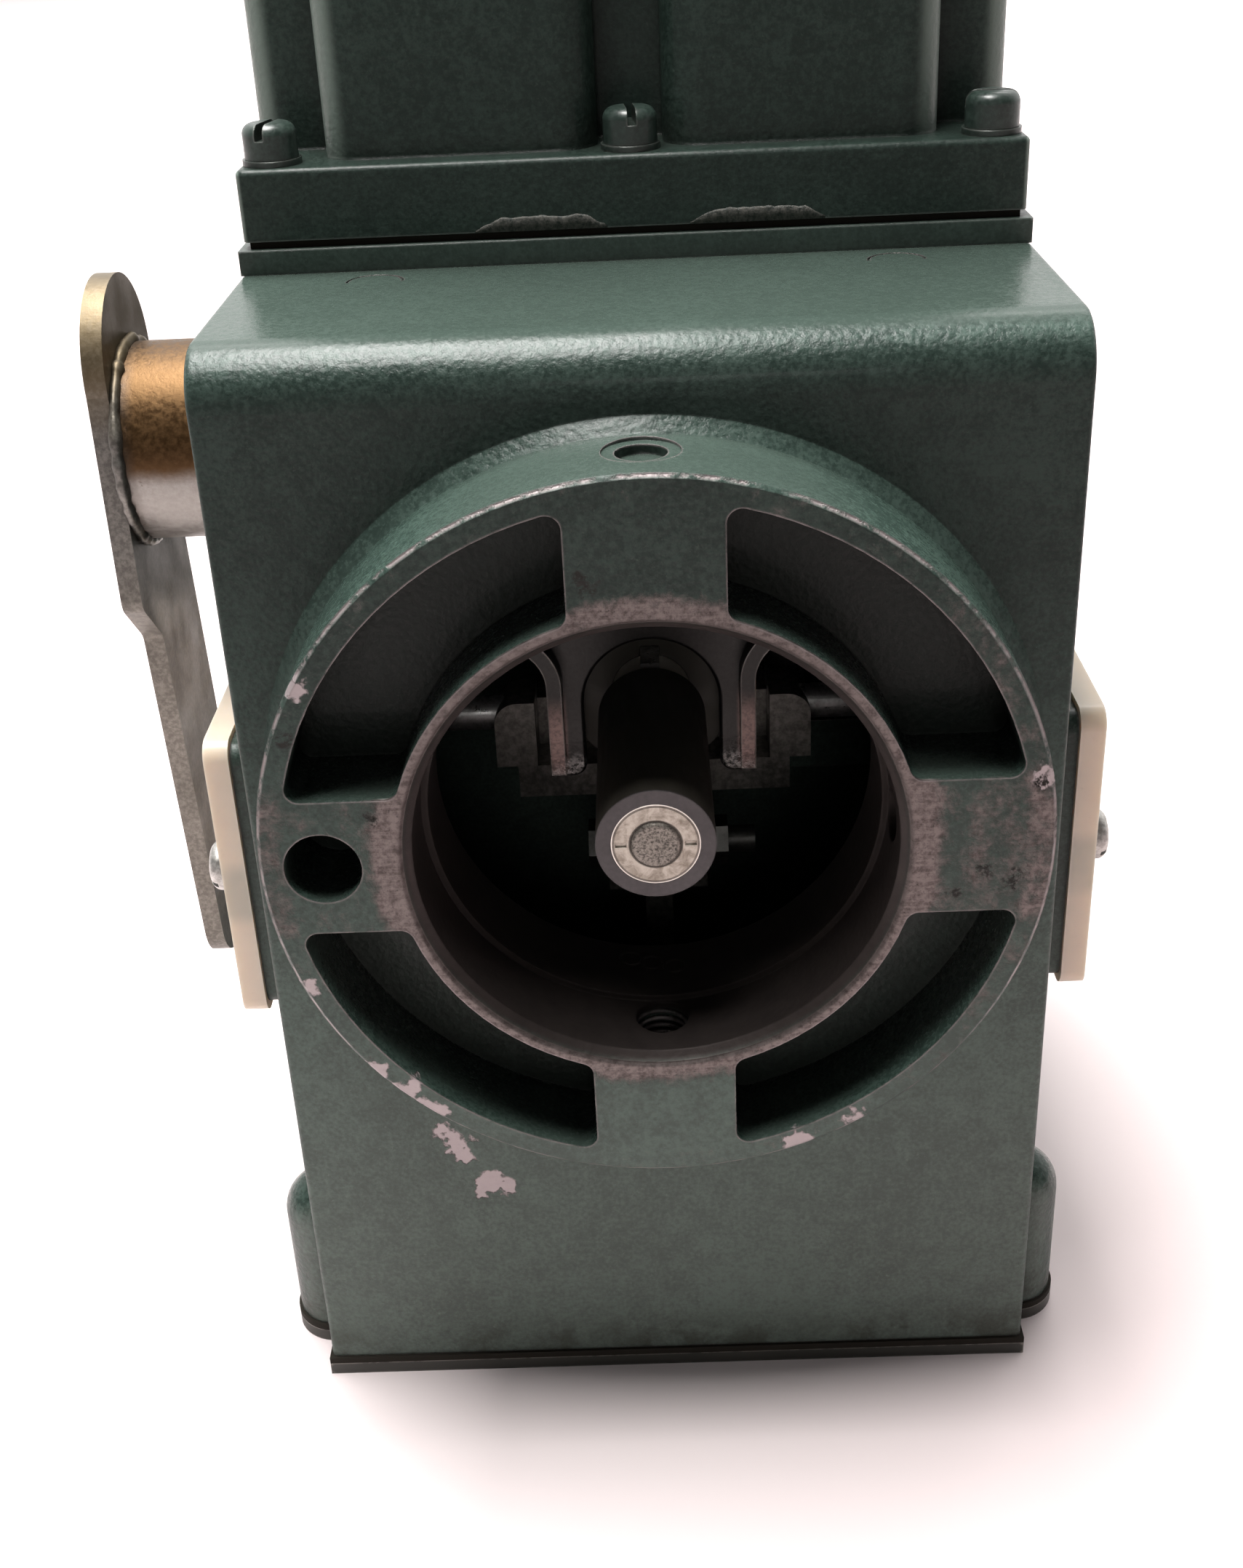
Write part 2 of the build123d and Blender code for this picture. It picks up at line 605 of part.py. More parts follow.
def pan_screw():
    # A slotted pan-head screw along +X: the head's seat is at x = 0.
    head = rod_x(PAN_HEAD_RADIUS, 0, PAN_HEAD_HEIGHT, 0, 0)
    head = fillet(head.faces().sort_by(Axis.X)[-1].edges(), PAN_HEAD_HEIGHT / 2)
    length = PAN_SHANK_LENGTH + SIDE_PLATE_THICKNESS
    shank = rod_x(PAN_SHANK_RADIUS, -length, 0, 0, 0)
    half = PAN_SLOT_WIDTH / 2
    return head + shank - block(PAN_HEAD_HEIGHT - PAN_SLOT_DEPTH, PAN_HEAD_HEIGHT,
                                -PAN_HEAD_RADIUS, PAN_HEAD_RADIUS, -half, half)


def make_side_plate_screws():
    seat = SIDE_PLATE_X + SIDE_PLATE_THICKNESS
    right = [Pos(seat, y, SIDE_SCREW_Z) * Rot(25, 0, 0) * pan_screw() for y in side_screw_places()]
    return solids_of(right + [mirrored(screw) for screw in right])


# ---------------- bearing bracket ----------------
def foot_rivet_places():
    y = post_y()
    return [(side * (POST_FOOT_X - 5), y) for side in (-1, 1)]


def post_y():
    return BRACKET_FRONT_Y + BRACKET_DEPTH / 2


def bracket_ear(side):
    ear_y = FRONT_Y + EAR_FRONT
    xs = sorted((side * EAR_INNER_X, side * EAR_OUTER_X))
    ear = block(*xs, ear_y, ear_y + BRACKET_DEPTH, EAR_BOTTOM, EAR_TOP)
    corner = ear.edges().filter_by(Axis.Y).group_by(Axis.Z)[-1].sort_by(Axis.X)
    return fillet(corner[0 if side < 0 else -1], EAR_CORNER)


def make_bearing_bracket():
    y0 = FRONT_Y + EAR_FRONT
    y1 = BRACKET_FRONT_Y + BRACKET_DEPTH
    ring = rod_y(BRACKET_RING_RADIUS, BRACKET_FRONT_Y, y1, 0, OUTPUT_Z)
    body = ring + block(-EAR_INNER_X, EAR_INNER_X, BRACKET_FRONT_Y, y1, CROSS_PLATE_BOTTOM, OUTPUT_Z - 8)
    body += block(-CROSS_PLATE_HALF, CROSS_PLATE_HALF, y0, y1, CROSS_PLATE_BOTTOM, EAR_BOTTOM)
    for side in (-1, 1):
        body += bracket_ear(side)
        xs = sorted((side * CHEEK_INNER, side * CHEEK_OUTER))
        body += block(*xs, BRACKET_FRONT_Y, y1, CHEEK_BOTTOM, CROSS_PLATE_BOTTOM)
        pin = sorted((side * EAR_INNER_X, side * EAR_OUTER_X))
        body -= rod_x(TRUNNION_RADIUS, *pin, trunnion_y(), TRUNNION_Z)
    body -= rod_y(QUILL_RADIUS + BUSH_WALL, BRACKET_FRONT_Y, y1, 0, OUTPUT_Z)
    clutch_room = COLLAR_FLANGE_RADIUS + 1.5
    body -= rod_y(clutch_room, y0, BRACKET_FRONT_Y, 0, OUTPUT_Z)
    return body - rod_x(LINK_BOLT_RADIUS, -CHEEK_OUTER, CHEEK_OUTER, post_y(), LINK_BOLT_Z)


def make_trunnion_pins():
    right = rod_x(TRUNNION_RADIUS, EAR_INNER_X, SIDE_PLATE_X, trunnion_y(), TRUNNION_Z)
    return solids_of([right, mirrored(right)])


def bush_y(inner, outer, y0, y1):
    return rod_y(outer, y0, y1, 0, OUTPUT_Z) - rod_y(inner, y0, y1, 0, OUTPUT_Z)


def make_support_post():
    y = post_y()
    half = POST_DEPTH / 2
    foot_z = PLATE_THICKNESS
    bar = block(-POST_HALF, POST_HALF, y - half, y + half, foot_z, POST_TOP)
    foot_top = foot_z + POST_FOOT_THICKNESS
    foot = block(-POST_FOOT_X, POST_FOOT_X, y - POST_FOOT_Y, y + POST_FOOT_Y, foot_z, foot_top)
    post = bar + foot - rod_x(LINK_BOLT_RADIUS, -POST_HALF, POST_HALF, y, LINK_BOLT_Z)
    for x, rivet_y in foot_rivet_places():
        post -= rod_z(LINK_BOLT_RADIUS, foot_z, foot_top, x, rivet_y)
    return post


def make_post_rivets():
    rivets = []
    top = PLATE_THICKNESS + POST_FOOT_THICKNESS
    for x, y in foot_rivet_places():
        shank = rod_z(LINK_BOLT_RADIUS, 0, top, x, y)
        head = rod_z(1.8 * LINK_BOLT_RADIUS, top, top + 1.8, x, y)
        rivets.append(shank + fillet(head.faces().sort_by(Axis.Z)[-1].edges(), 1.4))
    return solids_of(rivets)


def hexagon_x(x0, x1, bore):
    outline = RegularPolygon(LINK_HEAD_AF / 2, 6, major_radius=False)
    prism = extrude(side_plane(x0) * Pos(post_y(), LINK_BOLT_Z) * outline, x1 - x0)
    return prism - rod_x(bore, x0, x1, post_y(), LINK_BOLT_Z) if bore else prism


def make_link_bolt():
    head = hexagon_x(-CHEEK_OUTER - LINK_HEAD_HEIGHT, -CHEEK_OUTER, 0)
    return head + rod_x(LINK_BOLT_RADIUS, -CHEEK_OUTER, LINK_BOLT_END, post_y(), LINK_BOLT_Z)


def make_link_nut():
    return hexagon_x(CHEEK_OUTER, CHEEK_OUTER + LINK_NUT_HEIGHT, LINK_BOLT_RADIUS)


# ---------------- output line ----------------
def make_output_shaft():
    shaft = rod_y(SHAFT_RADIUS, SHAFT_FRONT_Y, SHAFT_REAR_Y, 0, OUTPUT_Z)
    shaft -= rod_y(END_PIN_RADIUS, SHAFT_FRONT_Y, SHAFT_FRONT_Y + END_PIN_LENGTH, 0, OUTPUT_Z)
    middle = (SHAFT_RADIUS + END_PIN_RADIUS) / 2
    for side in (-1, 1):
        x = side * middle
        shaft -= block(x - STAKE_LENGTH / 2, x + STAKE_LENGTH / 2, SHAFT_FRONT_Y, SHAFT_FRONT_Y + STAKE_DEPTH,
                       OUTPUT_Z - STAKE_WIDTH / 2, OUTPUT_Z + STAKE_WIDTH / 2)
    seat_z = OUTPUT_Z + SHAFT_RADIUS - KEY_HEIGHT / 2
    return shaft - block(-KEY_WIDTH / 2, KEY_WIDTH / 2, *key_span(), seat_z, OUTPUT_Z + SHAFT_RADIUS)


def key_span():
    # The clutch slides forward over the key, so the key is longer than the clutch.
    return (FRONT_Y + 29.5, QUILL_FACE_Y - 0.6)


def make_clutch_key():
    seat_z = OUTPUT_Z + SHAFT_RADIUS - KEY_HEIGHT / 2
    return block(-KEY_WIDTH / 2, KEY_WIDTH / 2, *key_span(), seat_z, seat_z + KEY_HEIGHT)


def make_output_sleeve():
    return bush_y(SHAFT_RADIUS, SLEEVE_RADIUS, SHAFT_FRONT_Y, SHAFT_FRONT_Y + SLEEVE_LENGTH)


def make_end_pin():
    proud = 0.5
    pin = rod_y(END_PIN_RADIUS, SHAFT_FRONT_Y - proud, SHAFT_FRONT_Y + END_PIN_LENGTH, 0, OUTPUT_Z)
    return fillet(pin.faces().sort_by(Axis.Y)[0].edges(), END_PIN_CROWN)


def dog_ring(outer, y0, y1, phase):
    # Dog teeth as ring sectors: each fills its half pitch less the gap angle.
    width = 180 / DOG_COUNT - DOG_GAP_ANGLE
    ring = bush_y(QUILL_RADIUS, outer, y0, y1)
    wedge = Polygon((0, 0), *wedge_points(width / 2, 3 * outer), align=None)
    keep = [Rot(0, 0, phase + 360 * i / DOG_COUNT) * wedge for i in range(DOG_COUNT)]
    return [ring & extrude(front_plane(y1) * sector, y1 - y0) for sector in keep]


def wedge_points(half_angle, radius):
    angle = math.radians(half_angle)
    x = radius * math.cos(angle)
    y = radius * math.sin(angle)
    return [(x, -y), (x, y)]


def make_clutch_collar():
    groove_front = CLUTCH_FRONT_Y + CLUTCH_FLANGE
    body = rod_y(COLLAR_FLANGE_RADIUS, CLUTCH_FRONT_Y, CLUTCH_REAR_Y, 0, OUTPUT_Z)
    body -= bush_y(COLLAR_GROOVE_RADIUS, COLLAR_FLANGE_RADIUS + 1, groove_front, groove_front + CLUTCH_GROOVE)
    for dog in dog_ring(QUILL_FLANGE_RADIUS, CLUTCH_REAR_Y, CLUTCH_REAR_Y + DOG_HEIGHT, 0):
        body += dog
    body -= rod_y(QUILL_BORE, CLUTCH_FRONT_Y, CLUTCH_REAR_Y, 0, OUTPUT_Z)
    half = KEY_WIDTH / 2 + FIT_CLEARANCE
    return body - block(-half, half, CLUTCH_FRONT_Y, CLUTCH_REAR_Y, OUTPUT_Z,
                        OUTPUT_Z + SHAFT_RADIUS + KEY_HEIGHT / 2 + 2 * FIT_CLEARANCE)


def make_wheel_quill():
    flange_rear = QUILL_FACE_Y + QUILL_FLANGE
    quill = rod_y(QUILL_RADIUS, QUILL_FACE_Y, QUILL_REAR_Y, 0, OUTPUT_Z)
    quill += rod_y(QUILL_FLANGE_RADIUS, QUILL_FACE_Y, flange_rear, 0, OUTPUT_Z)
    for dog in dog_ring(QUILL_FLANGE_RADIUS, QUILL_FACE_Y - DOG_HEIGHT, QUILL_FACE_Y, 180 / DOG_COUNT):
        quill += dog
    return quill - rod_y(QUILL_BORE, QUILL_FACE_Y, QUILL_REAR_Y, 0, OUTPUT_Z)


# ---------------- worm wheel and worm ----------------
def involute_half_angle(radius):
    # Half the tooth's angle at a radius, in radians, for an involute of the pressure angle.
    pressure = math.radians(PRESSURE_ANGLE)
    base = WHEEL_PITCH_RADIUS * math.cos(pressure)
    half = (WORM_LEAD / 2 - TOOTH_THINNING) / (2 * WHEEL_PITCH_RADIUS)
    local = math.acos(min(1.0, base / max(radius, base)))
    return half + (math.tan(pressure) - pressure) - (math.tan(local) - local)


def tooth_outline():
    root = WHEEL_PITCH_RADIUS - DEDENDUM
    tip = WHEEL_PITCH_RADIUS + ADDENDUM
    radii = [root, WHEEL_PITCH_RADIUS, tip]
    points = []
    for i in range(WHEEL_TEETH):
        middle = 2 * math.pi * i / WHEEL_TEETH
        for radius in radii:
            points.append((radius, middle - involute_half_angle(radius)))
        for radius in reversed(radii):
            points.append((radius, middle + involute_half_angle(radius)))
    return [(r * math.cos(a), r * math.sin(a)) for r, a in points]


def make_worm_wheel():
    lead_angle = math.atan(MODULE / (2 * WORM_PITCH_RADIUS))
    twist = math.degrees(math.tan(lead_angle) * WHEEL_WIDTH / WHEEL_PITCH_RADIUS)
    outline = Rot(0, 0, -twist / 2) * Wire.make_polygon(tooth_outline(), close=True)
    gear = Solid.extrude_linear_with_rotation(outline, (0, 0, 0), (0, 0, WHEEL_WIDTH), twist)
    gear -= rod_z(WHEEL_BORE, 0, WHEEL_WIDTH, 0, 0)
    return Pos(0, WHEEL_Y - WHEEL_WIDTH / 2, OUTPUT_Z) * Rot(-90, 0, 0) * gear


def worm_thread():
    # The thread's axial section: a trapezium that starts just inside the root.
    tangent = math.tan(math.radians(PRESSURE_ANGLE))
    half = (WORM_LEAD / 2 - TOOTH_THINNING) / 2
    inner = WORM_PITCH_RADIUS - DEDENDUM - 0.3
    outer = WORM_PITCH_RADIUS + ADDENDUM
    foot = half + (WORM_PITCH_RADIUS - inner) * tangent
    crest = half - ADDENDUM * tangent
    corners = [(inner, 0, -foot), (outer, 0, -crest), (outer, 0, crest), (inner, 0, foot)]
    section = Face(Wire.make_polygon(corners, close=True))
    path = Helix(WORM_LEAD, WORM_TURNS * WORM_LEAD, WORM_PITCH_RADIUS)
    return sweep(section, path=path, is_frenet=True)


def make_worm():
    start = OUTPUT_Z - WORM_TURNS / 2 * WORM_LEAD
    root = WORM_PITCH_RADIUS - DEDENDUM
    length = WORM_TURNS * WORM_LEAD
    core = rod_z(root, -WORM_LEAD, length + WORM_LEAD, 0, 0)
    worm = Pos(WORM_X, WORM_Y, start) * (core + worm_thread())
    return worm + rod_z(WORM_SHAFT_RADIUS, WORM_BOTTOM_Z, WORM_TOP_Z, WORM_X, WORM_Y)


def bush_z(inner, outer, z0, z1):
    return rod_z(outer, z0, z1, WORM_X, WORM_Y) - rod_z(inner, z0, z1, WORM_X, WORM_Y)


# ---------------- lever group ----------------
def lever_outline():
    # Drawn about the pivot with the arm hanging straight down: local x is to the rear, local y is up.
    front = (LEVER_HEAD_X - LEVER_HEAD_RADIUS, LEVER_HEAD_Z)
    top = (LEVER_HEAD_X, LEVER_HEAD_Z + LEVER_HEAD_RADIUS)
    rear = (LEVER_HEAD_X + LEVER_HEAD_RADIUS, LEVER_HEAD_Z)
    crown = ThreePointArc(front, top, rear)
    sides = Polyline(rear, (LEVER_ARM_REAR, LEVER_TIP),
                     (LEVER_ARM_FRONT, LEVER_TIP), (LEVER_ARM_FRONT, LEVER_STEP_END),
                     (LEVER_HIP, LEVER_STEP_START), front)
    face = make_face(crown.edges() + sides.edges())
    tip = face.vertices().group_by(Axis.Y)[0]
    face = fillet(tip, LEVER_TIP_RADIUS)
    step = [v for v in face.vertices() if LEVER_STEP_END - 1 < v.Y < LEVER_STEP_START + 1]
    return fillet(step, LEVER_STEP_RADIUS)


def make_lever():
    outer_x = LEVER_INNER_X - LEVER_THICKNESS
    hung = Pos(PIVOT_Y, LEVER_PIVOT_Z) * Rot(0, 0, LEVER_LEAN) * lever_outline()
    sheet = extrude(side_plane(outer_x) * hung, LEVER_THICKNESS)
    return sheet - rod_x(CROSS_SHAFT_RADIUS, outer_x, LEVER_INNER_X, PIVOT_Y, LEVER_PIVOT_Z)


def pivot_tube(inner, outer, x0, x1):
    tube = rod_x(outer, x0, x1, PIVOT_Y, LEVER_PIVOT_Z)
    return tube - rod_x(inner, x0, x1, PIVOT_Y, LEVER_PIVOT_Z)


def make_lever_boss():
    return pivot_tube(CROSS_SHAFT_RADIUS, LEVER_BOSS_RADIUS, LEVER_INNER_X, -SIDE_X - LEVER_GAP)


def make_cross_shaft():
    shaft = rod_x(CROSS_SHAFT_RADIUS, LEVER_INNER_X - LEVER_THICKNESS, INNER_X - 1, PIVOT_Y, LEVER_PIVOT_Z)
    return shaft - rod_z(ROLL_PIN_RADIUS, LEVER_PIVOT_Z - 9, LEVER_PIVOT_Z + 9, 0, PIVOT_Y)


def fork_web():
    # Local x is +X and local y is +Z, both from the output axis.
    tip = FORK_TIP_Z - OUTPUT_Z
    flare = FORK_FLARE_Z - OUTPUT_Z
    shoulder = FORK_SHOULDER_Z - OUTPUT_Z
    neck = LEVER_PIVOT_Z - OUTPUT_Z
    wide = FORK_HALF_WIDTH + FORK_FLARE_RADIUS
    plate = Pos(0, (tip + shoulder) / 2) * Rectangle(2 * FORK_HALF_WIDTH, shoulder - tip)
    plate += Pos(0, (flare + shoulder) / 2) * Rectangle(2 * wide, shoulder - flare)
    for side in (-1, 1):
        plate -= Pos(side * wide, flare) * Circle(FORK_FLARE_RADIUS)
    plate += Pos(0, (shoulder + neck) / 2) * Rectangle(2 * FORK_NECK_HALF, neck - shoulder)
    plate -= Circle(FORK_INNER_RADIUS)
    plate -= Pos(0, tip) * Rectangle(2 * FORK_INNER_RADIUS, -2 * tip)
    tips = [v for v in plate.vertices() if v.Y < tip + 1]
    plate = fillet(tips, FORK_TIP_RADIUS)
    corners = [v for v in plate.vertices() if v.Y > shoulder - 0.1 and abs(v.X) > wide - 0.1]
    return fillet(corners, FORK_SHOULDER_RADIUS)


def fork_flange(side):
    # The turned-up edge of one arm: straight at the tip, then flaring outwards.
    wide = FORK_HALF_WIDTH + FORK_FLARE_RADIUS
    flare = FORK_FLARE_Z - OUTPUT_Z
    foot = FORK_TIP_Z + FORK_TIP_RADIUS - OUTPUT_Z
    ring = Pos(side * wide, flare) * (Circle(FORK_FLARE_RADIUS + FORK_SHEET) - Circle(FORK_FLARE_RADIUS))
    reach = FORK_FLARE_RADIUS + FORK_SHEET
    quarter = Pos(side * (wide - reach / 2), flare + reach / 2) * Rectangle(reach, reach)
    strip = Pos(side * (FORK_HALF_WIDTH - FORK_SHEET / 2), (foot + flare) / 2)
    return (ring & quarter) + strip * Rectangle(FORK_SHEET, flare - foot)


def make_fork():
    front = FRONT_Y + FORK_WEB_FRONT
    fork = extrude(front_plane(front + FORK_SHEET) * fork_web(), FORK_SHEET)
    rounds = fork.faces().sort_by(Axis.Y)[0].edges().filter_by(GeomType.CIRCLE)
    arch = [edge for edge in rounds if abs(edge.radius - FORK_INNER_RADIUS) < FORK_ARCH_CHAMFER / 10]
    fork = chamfer(arch, FORK_ARCH_CHAMFER)
    for side in (-1, 1):
        fork += extrude(front_plane(front) * fork_flange(side), FORK_FLANGE_DEPTH)
    fork += rod_x(FORK_HUB_RADIUS, -FORK_HUB_HALF, FORK_HUB_HALF, PIVOT_Y, LEVER_PIVOT_Z)
    fork -= rod_x(CROSS_SHAFT_RADIUS, -FORK_HUB_HALF, FORK_HUB_HALF, PIVOT_Y, LEVER_PIVOT_Z)
    return fork - rod_z(ROLL_PIN_RADIUS, LEVER_PIVOT_Z - 9, LEVER_PIVOT_Z + 9, 0, PIVOT_Y)


def make_fork_shoes():
    back = FRONT_Y + FORK_WEB_FRONT + FORK_SHEET
    groove_front = CLUTCH_FRONT_Y + CLUTCH_FLANGE + SHOE_GROOVE_GAP
    groove_rear = CLUTCH_FRONT_Y + CLUTCH_FLANGE + CLUTCH_GROOVE - SHOE_GROOVE_GAP
    leg_x = COLLAR_FLANGE_RADIUS + SHOE_SIDE_GAP
    z0 = OUTPUT_Z - SHOE_HALF_HEIGHT
    z1 = OUTPUT_Z + SHOE_HALF_HEIGHT
    leg = block(leg_x, leg_x + SHOE_LEG, back, groove_rear, z0, z1)
    finger = block(FORK_INNER_RADIUS, leg_x, groove_front, groove_rear, z0, z1)
    shoe = leg + finger
    return solids_of([shoe, mirrored(shoe)])


def make_roll_pin():
    reach = FORK_HUB_RADIUS + 0.2
    return rod_z(ROLL_PIN_RADIUS, LEVER_PIVOT_Z - reach, LEVER_PIVOT_Z + reach, 0, PIVOT_Y)


# ---------------- motor ----------------
def stud_places():
    dx = STATOR_WIDTH / 2 - STUD_INSET
    dy = STATOR_DEPTH / 2 - STUD_INSET
    return [(WORM_X + sx * dx, WORM_Y + sy * dy) for sx in (-1, 1) for sy in (-1, 1)]


def stator_block(z0, z1):
    half_x = STATOR_WIDTH / 2
    half_y = STATOR_DEPTH / 2
    stack = block(WORM_X - half_x, WORM_X + half_x, WORM_Y - half_y, WORM_Y + half_y, z0, z1)
    for x, y in stud_places():
        stack -= rod_z(STUD_RADIUS, z0, z1, x, y)
    return stack


def make_stator():
    stack = stator_block(STATOR_BOTTOM, STATOR_TOP)
    return stack - rod_z(STATOR_BORE, STATOR_BOTTOM, STATOR_TOP, WORM_X, WORM_Y)


def make_coils():
    lower = bush_z(STATOR_BORE + 0.6, COIL_RADIUS, STATOR_BOTTOM - COIL_DEPTH, STATOR_BOTTOM)
    upper = bush_z(STATOR_BORE + 0.6, COIL_RADIUS, STATOR_TOP, STATOR_TOP + COIL_DEPTH)
    return solids_of([lower, upper])


def make_end_shield(z0):
    plate = stator_block(z0, z0 + SHIELD_THICKNESS)
    return plate - rod_z(BEARING_OUTER, z0, z0 + SHIELD_THICKNESS, WORM_X, WORM_Y)


def make_studs():
    bottom = ADAPTER_TOP
    top = upper_shield_z() + SHIELD_THICKNESS + 3
    return solids_of([rod_z(STUD_RADIUS, bottom, top, x, y) for x, y in stud_places()])


def upper_shield_z():
    return STATOR_TOP + COIL_DEPTH + 2


def lower_shield_z():
    return STATOR_BOTTOM - COIL_DEPTH - 2 - SHIELD_THICKNESS


def make_fan():
    hub = bush_z(WORM_SHAFT_RADIUS, FAN_HUB_RADIUS, FAN_Z, FAN_Z + FAN_BLADE_HEIGHT + 2)
    fan = hub + bush_z(WORM_SHAFT_RADIUS, FAN_RADIUS, FAN_Z, FAN_Z + 1.5)
    half = FAN_BLADE_THICKNESS / 2
    blade = block(FAN_HUB_RADIUS - 0.5, FAN_RADIUS, -half, half, FAN_Z, FAN_Z + FAN_BLADE_HEIGHT)
    for i in range(FAN_BLADES):
        fan += Pos(WORM_X, WORM_Y, 0) * Rot(0, 0, 360 * i / FAN_BLADES) * blade
    return fan


def make_capacitor():
    can = rod_z(CAPACITOR_RADIUS, ADAPTER_TOP, ADAPTER_TOP + CAPACITOR_HEIGHT, -LOBE_CENTRE_X, WORM_Y)
    can = fillet(can.faces().sort_by(Axis.Z)[-1].edges(), 2.0)
    for side in (-1, 1):
        x = -LOBE_CENTRE_X + side * 5
        can += block(x - 1.5, x + 1.5, WORM_Y - 0.4, WORM_Y + 0.4, ADAPTER_TOP + CAPACITOR_HEIGHT - 1,
                     ADAPTER_TOP + CAPACITOR_HEIGHT + 7)
    return can


def make_capacitor_clamp():
    outer = CAPACITOR_RADIUS + CLAMP_THICKNESS
    band = rod_z(outer, ADAPTER_TOP, ADAPTER_TOP + CLAMP_HEIGHT, -LOBE_CENTRE_X, WORM_Y)
    band += block(-LOBE_CENTRE_X - outer - 5, -LOBE_CENTRE_X + outer + 5, WORM_Y - 5, WORM_Y + 5,
                  ADAPTER_TOP, ADAPTER_TOP + CLAMP_THICKNESS)
    return band - rod_z(CAPACITOR_RADIUS, ADAPTER_TOP, ADAPTER_TOP + CLAMP_HEIGHT, -LOBE_CENTRE_X, WORM_Y)


def make_gland():
    wall_y = REAR_Y - LOBE_SETBACK
    inner = GLAND_RADIUS - 2.5
    barrel = rod_y(GLAND_RADIUS, wall_y - COVER_WALL - 3, wall_y, GLAND_X, GLAND_Z)
    barrel += rod_y(GLAND_RADIUS + 3, wall_y, wall_y + 4, GLAND_X, GLAND_Z)
    barrel += rod_y(GLAND_RADIUS + 3, wall_y - COVER_WALL - 3, wall_y - COVER_WALL, GLAND_X, GLAND_Z)
    return barrel - rod_y(inner, wall_y - COVER_WALL - 3, wall_y + 4, GLAND_X, GLAND_Z)


# ---------------- rear cap ----------------
def cap_screw_places():
    angles = [math.radians(90 + 360 * i / CAP_SCREW_COUNT) for i in range(CAP_SCREW_COUNT)]
    return [(CAP_SCREW_CIRCLE * math.cos(a), OUTPUT_Z + CAP_SCREW_CIRCLE * math.sin(a)) for a in angles]


def make_rear_cap():
    cap = rod_y(CAP_RADIUS, REAR_Y, REAR_Y + CAP_THICKNESS, 0, OUTPUT_Z)
    cap = fillet(cap.faces().sort_by(Axis.Y)[-1].edges(), 1.0)
    for x, z in cap_screw_places():
        cap -= rod_y(PAN_SHANK_RADIUS, REAR_Y, REAR_Y + CAP_THICKNESS, x, z)
    return cap


def make_cap_screws():
    screws = []
    for x, z in cap_screw_places():
        turned = Rot(0, 0, 90) * cap_screw()
        screws.append(Pos(x, REAR_Y + CAP_THICKNESS, z) * turned)
    return solids_of(screws)


def cap_screw():
    # A short pan-head screw along +X: the head's seat is at x = 0.
    head = rod_x(PAN_HEAD_RADIUS, 0, PAN_HEAD_HEIGHT, 0, 0)
    head = fillet(head.faces().sort_by(Axis.X)[-1].edges(), PAN_HEAD_HEIGHT / 2)
    shank = rod_x(PAN_SHANK_RADIUS, -CAP_THICKNESS - 3.5, 0, 0, 0)
    half = PAN_SLOT_WIDTH / 2
    return head + shank - block(PAN_HEAD_HEIGHT - PAN_SLOT_DEPTH, PAN_HEAD_HEIGHT,
                                -PAN_HEAD_RADIUS, PAN_HEAD_RADIUS, -half, half)


# ---------------- write every node ----------------
def write_housing_group():
    save("housing", make_housing())
    save("base_plate", make_base_plate())
    save("base_gasket", make_base_gasket())
    save("base_screws", make_base_screws())
    save("adapter_plate", make_adapter_plate())
    save("cover_gasket", make_cover_gasket())
    save("motor_cover", make_motor_cover())
    save("cover_screws", solids_of([fillister(x, y) for x, y in cover_screw_places()]))
    save("cover_washers", solids_of([washer(x, y) for x, y in cover_screw_places()]))
    save("side_plate_left", make_side_plate(-1))
    save("side_plate_right", make_side_plate(1))
    save("side_plate_screws", make_side_plate_screws())
    save("rear_bearing_cap", make_rear_cap())
    save("rear_cap_screws", make_cap_screws())
    save("cable_gland", make_gland())


def write_bearing_group():
    save("bearing_bracket", make_bearing_bracket())
    save("trunnion_pins", make_trunnion_pins())
    save("support_post", make_support_post())
    save("post_rivets", make_post_rivets())
    save("link_bolt", make_link_bolt())
    save("link_nut", make_link_nut())
    seat = (BRACKET_FRONT_Y, BRACKET_FRONT_Y + BRACKET_DEPTH)
    save("quill_bush", bush_y(QUILL_RADIUS + FIT_CLEARANCE, QUILL_RADIUS + BUSH_WALL, *seat))
    rear = (INNER_REAR_Y - REAR_BOSS_LENGTH, REAR_Y)
    save("rear_bush", bush_y(SHAFT_RADIUS + FIT_CLEARANCE, SHAFT_RADIUS + BUSH_WALL, *rear))
    save("worm_lower_bush", bush_z(WORM_SHAFT_RADIUS + FIT_CLEARANCE, WORM_SHAFT_RADIUS + BUSH_WALL,
                                   WORM_BOTTOM_Z - 1, WORM_BOTTOM_Z + 7))
    worm_bearings = [bush_z(WORM_SHAFT_RADIUS + FIT_CLEARANCE, BEARING_OUTER, z, z + SHIELD_THICKNESS)
                     for z in (HOUSING_TOP, lower_shield_z(), upper_shield_z())]
    save("motor_bearings", solids_of(worm_bearings))
    inner = CROSS_SHAFT_RADIUS + FIT_CLEARANCE
    save("lever_bush_left", pivot_tube(inner, LEVER_BUSH_RADIUS, -SIDE_X, -INNER_X + 2))
    blind = (INNER_X - BLIND_BOSS_LENGTH, INNER_X)
    save("lever_bush_right", pivot_tube(inner, CROSS_SHAFT_RADIUS + BUSH_WALL, *blind))


